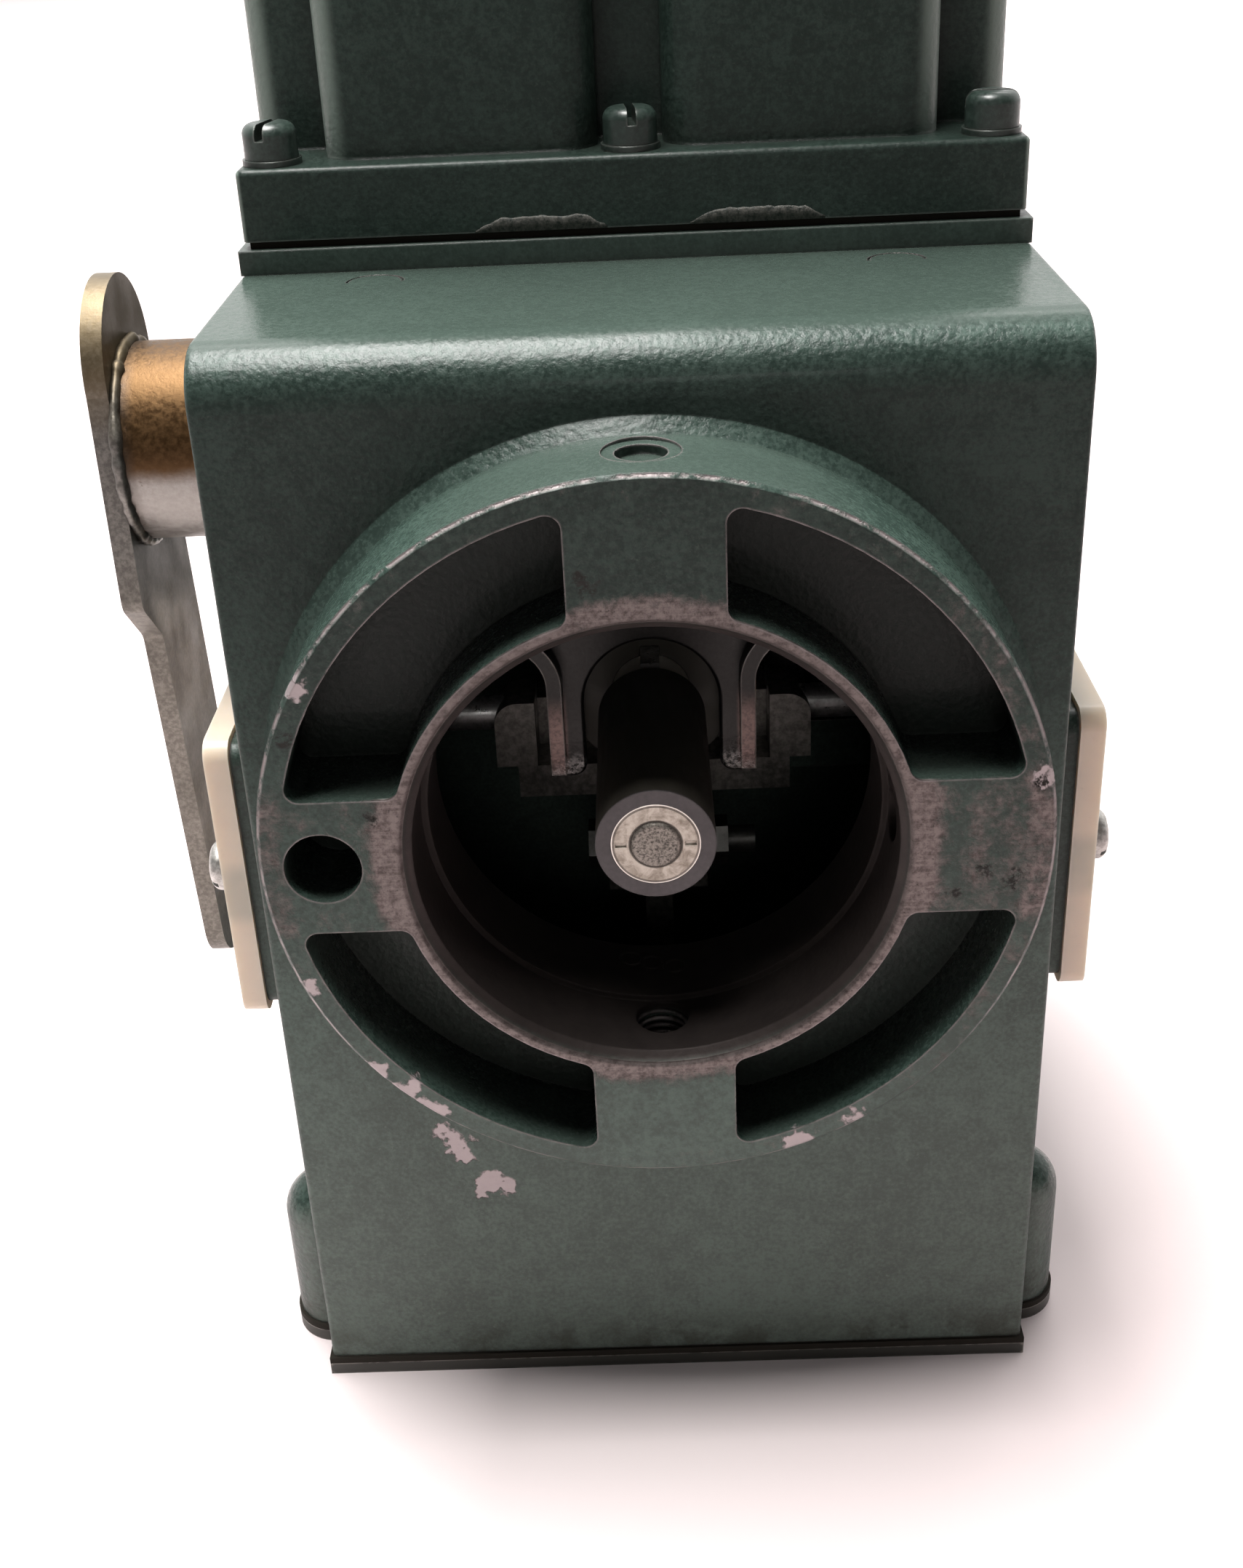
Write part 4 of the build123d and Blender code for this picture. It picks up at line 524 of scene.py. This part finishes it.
def ivory_plastic():
    # Clouded ivory plate: light at its edges, partly as a painted highlight, and darker in a band of painted
    # shade where the wall stands behind it.
    g = Graph("ivory_plate", coat=0.2, coat_roughness=0.15)
    middle = (SIDE_LEFT_LOW.z + SIDE_LEFT_HIGH.z) / 2
    level = g.apart(g.z(), middle - 1.5 * MM)
    # Painted shade: a darker, greener band where the wall stands behind the plate.
    wall_shade = g.times(g.span(level, 6.5 * MM, 3.0 * MM), g.span(g.noise(6 * MM, 2, 0.5), 0.2, 0.6, 0.6, 1.0))
    cloud = g.noise(11 * MM, 4, 0.55)
    color = g.mix(cloud, IVORY_DARK, IVORY_LIGHT)
    color = g.mix(g.times(wall_shade, 0.55), color, IVORY_WALL_SHADE)
    dust = g.span(g.noise(1.2 * MM, 5, 0.7), 0.60, 0.78)
    color = g.mix(g.times(dust, 0.25), color, IVORY_DUST)
    # Edges lightened: wear, with a painted highlight.
    color = g.mix(g.times(g.worn_and_highlit_edge(0.8 * MM, 0.5), 0.5), color, IVORY_EDGE)
    g.shader.inputs["Subsurface Weight"].default_value = 0.35
    g.shader.inputs["Subsurface Radius"].default_value = (0.004, 0.003, 0.002)
    g.shader.inputs["Subsurface Scale"].default_value = 1.0
    g.bump(g.noise(0.6 * MM, 4, 0.6), 0.03 * MM, 0.4)
    return g.finish(color, g.span(cloud, 0.3, 0.7, 0.30, 0.46))


def zinc_plate(name, light, dark, gold=None):
    g = Graph(name)
    grain = g.noise(0.8 * MM, 5, 0.65)
    cloud = g.noise(12 * MM, 4, 0.6)
    color = g.mix(g.span(grain, 0.35, 0.70), dark, light)
    oiled = g.span(g.off_centre(), 52 * MM, 46 * MM)
    color = g.mix(g.times(oiled, 0.85), color, INNER_OIL)
    if gold is not None:
        level = g.add(g.z(), g.times(g.add(cloud, -0.5), 14 * MM))
        high = g.span(level, PIVOT.z + 2 * MM, PIVOT.z + 17 * MM)
        color = g.mix(g.times(high, 0.75), color, gold)
        low = g.span(level, PIVOT.z - 12 * MM, PIVOT.z - 26 * MM)
        color = g.mix(g.times(low, 0.12), color, gold)
    rust = g.span(g.noise(4 * MM, 6, 0.75), 0.66, 0.78)
    color = g.mix(g.times(rust, 0.45), color, ZINC_RUST)
    # Painted shade in corners and hollows.
    color = g.mix(g.times(g.corner_shade(4 * MM), 0.6), color, GRIME_AND_SHADE)
    scratch = g.noise(1.5 * MM, 4, 0.6, vector=g.stretched((1, 6, 0.5)))
    g.bump(g.add(grain, g.times(scratch, 0.6)), 0.05 * MM, 0.5)
    return g.finish(color, g.span(g.add(cloud, g.times(grain, 0.5)), 0.5, 0.95, 0.34, 0.56), 0.85)


def boss_plate():
    # Gold chromate, with its lower half painted grey as a painted reflection of the pale floor, and a soft
    # line between them.
    g = Graph("boss_gold_with_painted_reflection")
    grain = g.noise(0.9 * MM, 5, 0.65)
    cloud = g.noise(7 * MM, 4, 0.6)
    level = g.add(g.z(), g.times(g.add(cloud, -0.5), 2.5 * MM))
    high = g.span(level, PIVOT.z - 2.5 * MM, PIVOT.z + 0.5 * MM)
    gold = g.mix(g.span(grain, 0.30, 0.75), GOLD_DARK, GOLD_LIGHT)
    # Painted reflection: the grey of the lower half.
    grey_reflection = g.mix(g.span(grain, 0.30, 0.75), BOSS_REFLECTION_DARK, BOSS_REFLECTION_LIGHT)
    brown = g.times(g.span(level, PIVOT.z + 5.0 * MM, PIVOT.z - 1.5 * MM), 0.55)
    gold = g.mix(brown, gold, GOLD_BROWN)
    color = g.mix(high, grey_reflection, gold)
    joint = g.span(g.x(), BOSS_LOW.x + 3.5 * MM, BOSS_LOW.x + 0.4 * MM)
    color = g.mix(g.times(joint, g.span(cloud, 0.35, 0.6, 0.4, 1.0)), color, JOINT_DIRT)
    pit = g.span(g.noise(2.2 * MM, 3, 0.5), 0.70, 0.76)
    color = g.mix(g.times(pit, 0.7), color, GOLD_PIT)
    g.bump(g.add(grain, g.times(pit, -0.5)), 0.08 * MM, 0.6)
    return g.finish(color, g.span(grain, 0.3, 0.7, 0.32, 0.52), 0.85)


def steel(name, light, dark, size=1.0 * MM, rough=(0.28, 0.45)):
    g = Graph(name)
    grain = g.noise(size, 5, 0.65)
    stain = g.noise(8 * size, 5, 0.7)
    color = g.mix(g.span(grain, 0.3, 0.72), dark, light)
    color = g.mix(g.times(g.span(stain, 0.55, 0.75), 0.4), color, dark)
    # Painted shade in corners and hollows.
    color = g.mix(g.times(g.corner_shade(3 * MM), 0.5), color, GRIME_AND_SHADE)
    g.bump(grain, 0.03 * MM, 0.5)
    return g.finish(color, g.span(stain, 0.3, 0.7, rough[0], rough[1]), 0.9)


def turned_steel(name, light, dark):
    # Lathe rings about the output axis.
    g = Graph(name)
    rings = g.node("ShaderNodeTexWave", wave_type="BANDS", bands_direction="Y")
    g.link(g.place, rings.inputs["Vector"])
    rings.inputs["Scale"].default_value = 1.0 / (1.2 * MM)
    rings.inputs["Distortion"].default_value = 0.6
    stain = g.noise(3 * MM, 5, 0.7)
    color = g.mix(g.span(stain, 0.4, 0.7), light, dark)
    # Painted shade in corners and hollows.
    color = g.mix(g.times(g.corner_shade(3 * MM), 0.5), color, GRIME_AND_SHADE)
    g.bump(rings.outputs["Fac"], 0.01 * MM, 0.4)
    return g.finish(color, g.span(stain, 0.3, 0.7, 0.25, 0.45), 0.9)


def sleeve_black():
    g = Graph("black_oxide_sleeve", specular=0.35, rounding=0.3 * MM)
    smear = g.noise(5 * MM, 5, 0.7, vector=g.stretched((1, 0.25, 1)))
    color = g.mix(smear, OXIDE_DARK, OXIDE_LIGHT)
    face = g.span(g.y(), SLEEVE_LOW.y + 0.5 * MM, SLEEVE_LOW.y + 0.05 * MM)
    end = g.mix(g.noise(0.7 * MM, 4, 0.6), OXIDE_END_DARK, OXIDE_END_LIGHT)
    color = g.mix(face, color, end)
    # Edges lightened: wear, with a painted highlight.
    edge = g.worn_and_highlit_edge(0.5 * MM, 0.2)
    color = g.mix(g.times(edge, 0.6), color, OXIDE_EDGE)
    dust = g.span(g.noise(1.4 * MM, 4, 0.7), 0.68, 0.76)
    color = g.mix(g.times(dust, 0.25), color, OXIDE_DUST)
    g.bump(g.noise(0.7 * MM, 4, 0.6), 0.03 * MM, 0.5)
    return g.finish(color, g.span(smear, 0.3, 0.7, 0.42, 0.62), 0.15)


def shaft_end():
    # Cream tarnish on the ground end, brighter at the ring's edges as a painted highlight, with painted shade
    # round the pin.
    g = Graph("shaft_end_steel", rounding=0.3 * MM)
    radius = g.radius()
    tarnish = g.noise(1.6 * MM, 6, 0.7, 0.5)
    color = g.mix(g.span(tarnish, 0.35, 0.70), CREAM, CREAM_TARNISH)
    line = g.span(g.apart(radius, 6.05 * MM), 0.22 * MM, 0.10 * MM)
    color = g.mix(g.times(line, 0.7), color, RING_LINE)
    # Painted highlight on the ring's outer edge.
    rim = g.span(radius, 6.14 * MM, 6.24 * MM)
    color = g.mix(rim, color, RING_HIGHLIGHT)
    # Painted shade in the gap round the pin.
    inner = g.span(radius, 3.95 * MM, 3.75 * MM)
    color = g.mix(g.times(inner, 0.9), color, PIN_GAP_SHADE)
    g.bump(g.add(g.noise(0.5 * MM, 4, 0.6), g.times(line, -1.5)), 0.04 * MM, 0.5)
    return g.finish(color, g.span(tarnish, 0.3, 0.7, 0.30, 0.50), 0.75)


def rough_pin():
    g = Graph("rough_pin_steel")
    pits = g.noise(0.38 * MM, 5, 0.75)
    color = g.mix(g.span(pits, 0.40, 0.66), PIN_LIGHT, PIN_PIT)
    # Edges lightened: wear, with a painted highlight.
    edge = g.worn_and_highlit_edge(0.4 * MM, 0.6)
    color = g.mix(g.times(edge, 0.8), color, PIN_EDGE)
    g.bump(pits, 0.12 * MM, 0.7)
    return g.finish(color, g.span(pits, 0.3, 0.7, 0.38, 0.62), 0.7)


def fork_steel():
    # Dark pressed steel, rubbed bright and slightly pink down the arms.
    g = Graph("fork_steel", rounding=0.4 * MM)
    grain = g.noise(0.8 * MM, 5, 0.65)
    low = g.span(g.z(), AXIS_Z + 2 * MM, AXIS_Z - 9 * MM)
    out = g.span(g.off_centre(), 13.6 * MM, 14.6 * MM)
    color = g.mix(grain, FORK_DARK, FORK_LIGHT)
    pink = g.times(out, g.span(g.z(), AXIS_Z + 4 * MM, AXIS_Z - 2 * MM))
    color = g.mix(g.times(pink, g.span(grain, 0.3, 0.6, 0.35, 0.8)), color, FORK_PINK)
    tip = g.span(g.z(), AXIS_Z - 8 * MM, AXIS_Z - 12.5 * MM)
    color = g.mix(g.times(tip, g.span(grain, 0.4, 0.6)), color, FORK_TIP)
    # Edges lightened: wear, with a painted highlight.
    edge = g.worn_and_highlit_edge(0.5 * MM, 0.55)
    color = g.mix(g.times(edge, 0.8), color, FORK_EDGE)
    g.bump(g.add(grain, g.noise(3 * MM, 3, 0.5)), 0.06 * MM, 0.5)
    return g.finish(color, g.blend(low, 0.42, 0.26), 0.85)


def laminations():
    g = Graph("stator_laminations")
    wave = g.node("ShaderNodeTexWave", wave_type="BANDS", bands_direction="Z")
    g.link(g.place, wave.inputs["Vector"])
    wave.inputs["Scale"].default_value = 1.0 / (2.0 * MM)
    rust = g.noise(4 * MM, 6, 0.7)
    color = g.mix(wave.outputs["Fac"], SHEET_DARK, SHEET_LIGHT)
    color = g.mix(g.times(g.span(rust, 0.55, 0.75), 0.5), color, SHEET_RUST)
    g.bump(wave.outputs["Fac"], 0.1 * MM, 0.8)
    return g.finish(color, g.span(rust, 0.3, 0.7, 0.35, 0.6), 0.8)


def winding():
    g = Graph("copper_winding", coat=0.5, coat_roughness=0.2)
    wave = g.node("ShaderNodeTexWave", wave_type="BANDS", bands_direction="Z")
    g.link(g.place, wave.inputs["Vector"])
    wave.inputs["Scale"].default_value = 1.0 / (2.6 * MM)
    wave.inputs["Distortion"].default_value = 2.0
    color = g.mix(wave.outputs["Fac"], COPPER_DARK, COPPER_LIGHT)
    g.bump(wave.outputs["Fac"], 0.2 * MM, 0.9)
    return g.finish(color, g.span(g.noise(3 * MM), 0.3, 0.7, 0.25, 0.4), 0.6)


def dull_solid(name, light, dark, rough, specular=0.4):
    g = Graph(name, specular=specular)
    grain = g.noise(0.7 * MM, 5, 0.65)
    cloud = g.noise(9 * MM, 4, 0.6)
    color = g.mix(g.add(g.times(grain, 0.5), g.times(cloud, 0.5)), dark, light)
    g.bump(grain, 0.04 * MM, 0.5)
    return g.finish(color, g.span(cloud, 0.3, 0.7, rough - 0.08, rough + 0.08))


def gate_scar():
    # Rough flash where the casting's gates were broken off, thinly painted over.
    g = Graph("gate_scar", specular=0.4)
    rough = g.noise(0.9 * MM, 6, 0.75)
    color = g.mix(g.span(rough, 0.35, 0.65), SCAR_DARK, SCAR_LIGHT)
    g.bump(rough, 0.2 * MM, 0.8)
    return g.finish(color, g.span(rough, 0.3, 0.7, 0.35, 0.6), 0.2)


# The light and the dark tone of each plain material.
ZINC = ((0.66, 0.65, 0.62, 1), (0.36, 0.35, 0.33, 1))
LEVER_ZINC = ((0.23, 0.22, 0.20, 1), (0.12, 0.115, 0.105, 1))
LEVER_GOLD = (0.155, 0.112, 0.055, 1)
BRACKET = ((0.30, 0.285, 0.26, 1), (0.14, 0.133, 0.12, 1))
BEARING_BRONZE = ((0.62, 0.40, 0.18, 1), (0.34, 0.20, 0.09, 1))
WHEEL_BRONZE = ((0.70, 0.46, 0.20, 1), (0.40, 0.25, 0.10, 1))
GROUND_STEEL = ((0.58, 0.57, 0.56, 1), (0.26, 0.25, 0.24, 1))
DRAWN_CAN = ((0.66, 0.67, 0.68, 1), (0.42, 0.43, 0.44, 1))
BLACK_PLASTIC = ((0.05, 0.05, 0.052, 1), (0.018, 0.018, 0.019, 1))
BLACK_RUBBER = ((0.032, 0.031, 0.030, 1), (0.012, 0.012, 0.012, 1))


def make_materials():
    return {
        "gate_scar": gate_scar(),
        "housing_paint": housing_paint(),
        "cover_paint": cover_paint(),
        "adapter_paint": adapter_paint(),
        "screw_paint": screw_paint(),
        "base_plate_steel": base_steel(),
        "gasket_fibre": gasket_fibre(),
        "side_plate_plastic": ivory_plastic(),
        "zinc_screw": zinc_plate("zinc_screw", *ZINC),
        "lever_zinc": zinc_plate("lever_zinc", *LEVER_ZINC, LEVER_GOLD),
        "boss_bronze": boss_plate(),
        "bracket_steel": steel("bracket_steel", *BRACKET, rough=(0.35, 0.55)),
        "bronze": steel("bearing_bronze", *BEARING_BRONZE),
        "wheel_bronze": steel("wheel_bronze", *WHEEL_BRONZE),
        "ground_steel": turned_steel("ground_steel", *GROUND_STEEL),
        "sleeve_black": sleeve_black(),
        "shaft_end_steel": shaft_end(),
        "pin_steel": rough_pin(),
        "fork_steel": fork_steel(),
        "stator_steel": laminations(),
        "copper_winding": winding(),
        "capacitor_can": steel("drawn_can", *DRAWN_CAN, size=2 * MM),
        "fan_plastic": dull_solid("black_fan", *BLACK_PLASTIC, 0.45),
        "gland_rubber": dull_solid("gland_rubber", *BLACK_RUBBER, 0.7, 0.25),
    }


def dress_frame(materials):
    slots = {s["node"]: s["material_slot"] for s in frame["record"]["subparts"]}
    for name, thing in NODES.items():
        thing.data.materials.clear()
        thing.data.materials.append(materials[slots[name]])


# ---------------------------------------------------------------- detail pieces
THREAD_PITCH = 1.25 * MM
THREAD_DEPTH = 0.55 * MM
THREAD_STEPS = 28
THREAD_MARGIN = 2.2 * MM
WELD_TURNS = 120
WELD_SIDES = 10
WELD_SIZE = 1.15
SCAR_STEPS = 40
SCAR_SPANS = {"gate_mark_left": (-24.0, -4.0), "gate_mark_right": (8.6, 29.0)}
RING_STEPS = 36
RING_SIDES = 6
RING_RADIUS = 1.7 * MM
RING_WIRE = 0.22 * MM
RING_PLACES = [(-4.7, 6.0), (2.2, 3.9), (-1.4, 5.2)]


def new_piece(name, mesh, body, material):
    thing = bpy.data.objects.new(name, mesh)
    bpy.context.scene.collection.objects.link(thing)
    mesh.materials.append(material)
    for polygon in mesh.polygons:
        polygon.use_smooth = True
    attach(thing, body)
    return thing


def mesh_of(name, vertices, faces):
    mesh = bpy.data.meshes.new(name)
    mesh.from_pydata([tuple(v) for v in vertices], [], faces)
    build = bmesh.new()
    build.from_mesh(mesh)
    bmesh.ops.recalc_face_normals(build, faces=build.faces)
    build.to_mesh(mesh)
    build.free()
    return mesh


def hoop_faces(steps, sides):
    """The faces of a closed ring with so many steps round and so many sides to its section."""
    faces = []
    for i in range(steps):
        a, b = i * sides, ((i + 1) % steps) * sides
        for j in range(sides):
            k = (j + 1) % sides
            faces.append((a + j, a + k, b + k, b + j))
    return faces


def tube_faces(steps, sides):
    """The faces of a closed tube, with a flat end at each end."""
    faces = []
    for i in range(steps - 1):
        a, b = i * sides, (i + 1) * sides
        for j in range(sides):
            k = (j + 1) % sides
            faces.append((a + j, a + k, b + k, b + j))
    last = (steps - 1) * sides
    faces.append(tuple(range(sides - 1, -1, -1)))
    faces.append(tuple(range(last, last + sides)))
    return faces


def swept(name, count, section):
    """A closed tube with so many rings: section(i) gives the points of ring i."""
    rings = [section(i) for i in range(count)]
    vertices = [point for ring in rings for point in ring]
    return mesh_of(name, vertices, tube_faces(count, len(rings[0])))


def thread_ridge(name, start, axis, length, radius, pitch, depth):
    """The thread left in a tapped hole: a triangular ridge that winds along the hole's wall."""
    axis = Vector(axis).normalized()
    side = axis.orthogonal().normalized()
    other = axis.cross(side)
    steps = int(THREAD_STEPS * length / pitch)

    def section(i):
        angle = 2 * math.pi * i / THREAD_STEPS
        out = side * math.cos(angle) + other * math.sin(angle)
        middle = Vector(start) + axis * (pitch * i / THREAD_STEPS)
        fade = min(1.0, 2 * i / THREAD_STEPS, 2 * (steps - i) / THREAD_STEPS)
        crest = radius - depth * max(fade, 0.05)
        half = 0.42 * pitch
        foot = middle + out * radius
        return [foot - axis * half, middle + out * crest, foot + axis * half]

    return swept(name, steps + 1, section)


def add_threads(materials):
    for name in ("collar_tap_bottom", "collar_tap_right"):
        mount = MOUNTS[name]
        axis = Vector(mount["axis"])
        length = mount["dims"]["length_mm"] * MM - THREAD_MARGIN
        start = Vector(mount["pos_m"]) - axis * (length / 2)
        radius = mount["dims"]["r_mm"] * MM
        mesh = thread_ridge(name + "_thread", start, axis, length, radius, THREAD_PITCH, THREAD_DEPTH)
        new_piece(name + "_thread", mesh, "gearbox", materials["housing_paint"])


def add_weld(materials):
    """The uneven bead that joins the boss to the lever's inner face."""
    x = BOSS_LOW.x + 0.5 * MM
    radius = (BOSS_HIGH.z - BOSS_LOW.z) / 2
    vertices = []
    for i in range(WELD_TURNS):
        angle = 2 * math.pi * i / WELD_TURNS
        out = Vector((0, math.cos(angle), math.sin(angle)))
        lump = noise.noise(out * 9.0) * 0.45 + noise.noise(out * 31.0) * 0.2
        size = (WELD_SIZE + lump) * MM
        centre = Vector((x, PIVOT.y, PIVOT.z)) + out * radius
        for j in range(WELD_SIDES):
            turn = 2 * math.pi * j / WELD_SIDES
            sideways = Vector((math.sin(turn) * size * 0.8, 0, 0))
            vertices.append(centre + out * (math.cos(turn) * size) + sideways)
    mesh = mesh_of("lever_weld_bead", vertices, hoop_faces(WELD_TURNS, WELD_SIDES))
    new_piece("lever_weld_bead", mesh, "shift_lever", materials["lever_zinc"])


def add_flange_scars(materials):
    """Two raised gate marks on the lower front edge of the cover's flange."""
    low = COVER_LOW.z + 0.05 * MM
    back = COVER_LOW.y + 0.4 * MM
    for name, (x0, x1) in SCAR_SPANS.items():

        def section(i):
            x = (x0 + (x1 - x0) * i / SCAR_STEPS) * MM
            ease = min(1.0, 5.0 * i / SCAR_STEPS, 7.0 * (SCAR_STEPS - i) / SCAR_STEPS)
            coarse = noise.noise(Vector((x * 420, 3.1, 0)))
            fine = noise.noise(Vector((x * 1500, 7.7, 0)))
            swell = abs(noise.noise(Vector((x * 700, 9.0, 0))))
            top = low + (0.5 + 1.6 * ease + 0.30 * coarse + 0.16 * fine) * MM
            proud = COVER_LOW.y - (0.04 + 0.16 * ease + 0.08 * swell) * MM
            return [(x, back, low), (x, proud, low), (x, proud, top - 0.35 * MM),
                    (x, proud + 0.25 * MM, top), (x, back, top)]

        mesh = swept(name, SCAR_STEPS + 1, section)
        new_piece(name, mesh, "gearbox", materials["gate_scar"])


def add_bore_marks(materials):
    """Small raised rings left by the die on the bore's lower wall."""
    for index, (x, y) in enumerate(RING_PLACES):
        middle = Vector((x * MM, FRONT_Y + y * MM, 0))
        vertices = []
        for i in range(RING_STEPS):
            angle = 2 * math.pi * i / RING_STEPS
            px = middle.x + RING_RADIUS * math.cos(angle)
            py = middle.y + RING_RADIUS * math.sin(angle)
            wall = AXIS_Z - math.sqrt(THROAT_R ** 2 - px ** 2)
            for j in range(RING_SIDES):
                turn = 2 * math.pi * j / RING_SIDES
                grow = RING_WIRE * math.cos(turn)
                lift = RING_WIRE * math.sin(turn)
                vertices.append((px + grow * math.cos(angle), py + grow * math.sin(angle), wall + lift))
        name = f"bore_mark_{index + 1}"
        mesh = mesh_of(name, vertices, hoop_faces(RING_STEPS, RING_SIDES))
        new_piece(name, mesh, "gearbox", materials["housing_paint"])


# ---------------------------------------------------------------- stage
FLOOR_REACH = 4.0
FLOOR_PALE = (0.87, 0.775, 0.78, 1)
FLOOR_PALER = (0.91, 0.815, 0.82, 1)
# Painted shade: the darker pink of the floor in front of the part and to its right.
FLOOR_PINK_SHADE = (0.79, 0.655, 0.665, 1)
WALL_WHITE = (1.0, 0.985, 0.975, 1)
LAMP_WHITE = (1.0, 0.985, 0.965)
WORLD_FRONT = 0.08
WORLD_BACK = 1.25
WORLD_DIM_Y = -0.30
WORLD_FULL_Y = 0.35


def add_floor():
    g = Graph("pale_floor", roughness=0.6, specular=0.3)
    cloud = g.noise(0.25, 3, 0.5)
    g.bump(g.noise(0.004, 4, 0.6), 0.0002, 0.2)
    pale = g.mix(cloud, FLOOR_PALE, FLOOR_PALER)
    # Painted shade: the floor turns a darker pink towards the front and the right of the part.
    pink = g.times(g.span(g.x(), -0.02, 0.16), g.span(g.y(), 0.06, -0.12))
    material = g.finish(g.mix(pink, pale, FLOOR_PINK_SHADE))
    mesh = bpy.data.meshes.new("floor")
    corners = [(x * FLOOR_REACH, y * FLOOR_REACH, 0) for x, y in ((-1, -1), (1, -1), (1, 1), (-1, 1))]
    mesh.from_pydata(corners, [], [(0, 1, 2, 3)])
    floor = bpy.data.objects.new("floor", mesh)
    bpy.context.scene.collection.objects.link(floor)
    mesh.materials.append(material)


def add_light(name, place, target, size, power, spread):
    data = bpy.data.lights.new(name, "AREA")
    data.shape = "RECTANGLE"
    data.size = size[0]
    data.size_y = size[1]
    data.energy = power
    data.color = LAMP_WHITE
    data.spread = math.radians(spread)
    lamp = bpy.data.objects.new(name, data)
    bpy.context.scene.collection.objects.link(lamp)
    lamp.location = place
    lamp.rotation_euler = (Vector(target) - Vector(place)).to_track_quat("-Z", "Y").to_euler()
    lamp.visible_camera = False


def add_world():
    """A pale room that lights the part from behind and the sides, and little from the front."""
    world = bpy.data.worlds.new("studio")
    bpy.context.scene.world = world
    world.use_nodes = True
    tree = world.node_tree
    sky = tree.nodes["Background"]
    place = tree.nodes.new("ShaderNodeTexCoord")
    split = tree.nodes.new("ShaderNodeSeparateXYZ")
    ramp = tree.nodes.new("ShaderNodeMapRange")
    ramp.interpolation_type = "SMOOTHSTEP"
    tree.links.new(place.outputs["Generated"], split.inputs[0])
    tree.links.new(split.outputs["Y"], ramp.inputs["Value"])
    ramp.inputs["From Min"].default_value = WORLD_DIM_Y
    ramp.inputs["From Max"].default_value = WORLD_FULL_Y
    ramp.inputs["To Min"].default_value = WORLD_FRONT
    ramp.inputs["To Max"].default_value = WORLD_BACK
    tree.links.new(ramp.outputs[0], sky.inputs["Strength"])
    sky.inputs["Color"].default_value = WALL_WHITE
    # The wall behind the part is white from every side; only the light it gives is uneven.
    wall = tree.nodes.new("ShaderNodeBackground")
    wall.inputs["Color"].default_value = WALL_WHITE
    wall.inputs["Strength"].default_value = WORLD_BACK
    rays = tree.nodes.new("ShaderNodeLightPath")
    choice = tree.nodes.new("ShaderNodeMixShader")
    tree.links.new(rays.outputs["Is Camera Ray"], choice.inputs[0])
    tree.links.new(sky.outputs[0], choice.inputs[1])
    tree.links.new(wall.outputs[0], choice.inputs[2])
    tree.links.new(choice.outputs[0], tree.nodes["World Output"].inputs["Surface"])


def add_lights():
    add_light("overhead_softbox", place=(-0.10, 0.00, 0.80), target=(-0.02, 0.0, 0.0), size=(0.56, 0.24),
              power=4.2, spread=100)
    add_light("bore_fill", place=(0.03, -0.62, 0.34), target=(0.0, -0.03, 0.10), size=(0.16, 0.10),
              power=0.006, spread=24)
    add_light("background_light", place=(0.0, 1.5, 1.6), target=(0.0, 1.7, 0.0), size=(2.4, 0.8),
              power=45.0, spread=120)


CAMERA_PLACE = (0.000816, -0.305138, 0.242846)
CAMERA_PITCH = -0.489
CAMERA_YAW = 0.0233
CAMERA_ROLL = 0.0478
CAMERA_LENS = 42.34
CAMERA_SENSOR = 36.0


def add_camera():
    data = bpy.data.cameras.new("camera")
    data.sensor_width = CAMERA_SENSOR
    data.lens = CAMERA_LENS
    data.clip_start = 0.01
    camera = bpy.data.objects.new("camera", data)
    bpy.context.scene.collection.objects.link(camera)
    turn = Matrix.Rotation(CAMERA_YAW, 4, "Z") @ Matrix.Rotation(CAMERA_PITCH, 4, "X")
    turn = turn @ Matrix.Rotation(CAMERA_ROLL, 4, "Y") @ Matrix.Rotation(math.pi / 2, 4, "X")
    camera.matrix_world = Matrix.Translation(CAMERA_PLACE) @ turn
    bpy.context.scene.camera = camera


def set_look():
    view = bpy.context.scene.view_settings
    view.view_transform = "Standard"
    view.look = "None"


# ---------------------------------------------------------------- build
add_camera()
add_world()
add_lights()
add_floor()
set_look()
MATERIALS = make_materials()
dress_frame(MATERIALS)
add_threads(MATERIALS)
add_weld(MATERIALS)
add_flange_scars(MATERIALS)
add_bore_marks(MATERIALS)
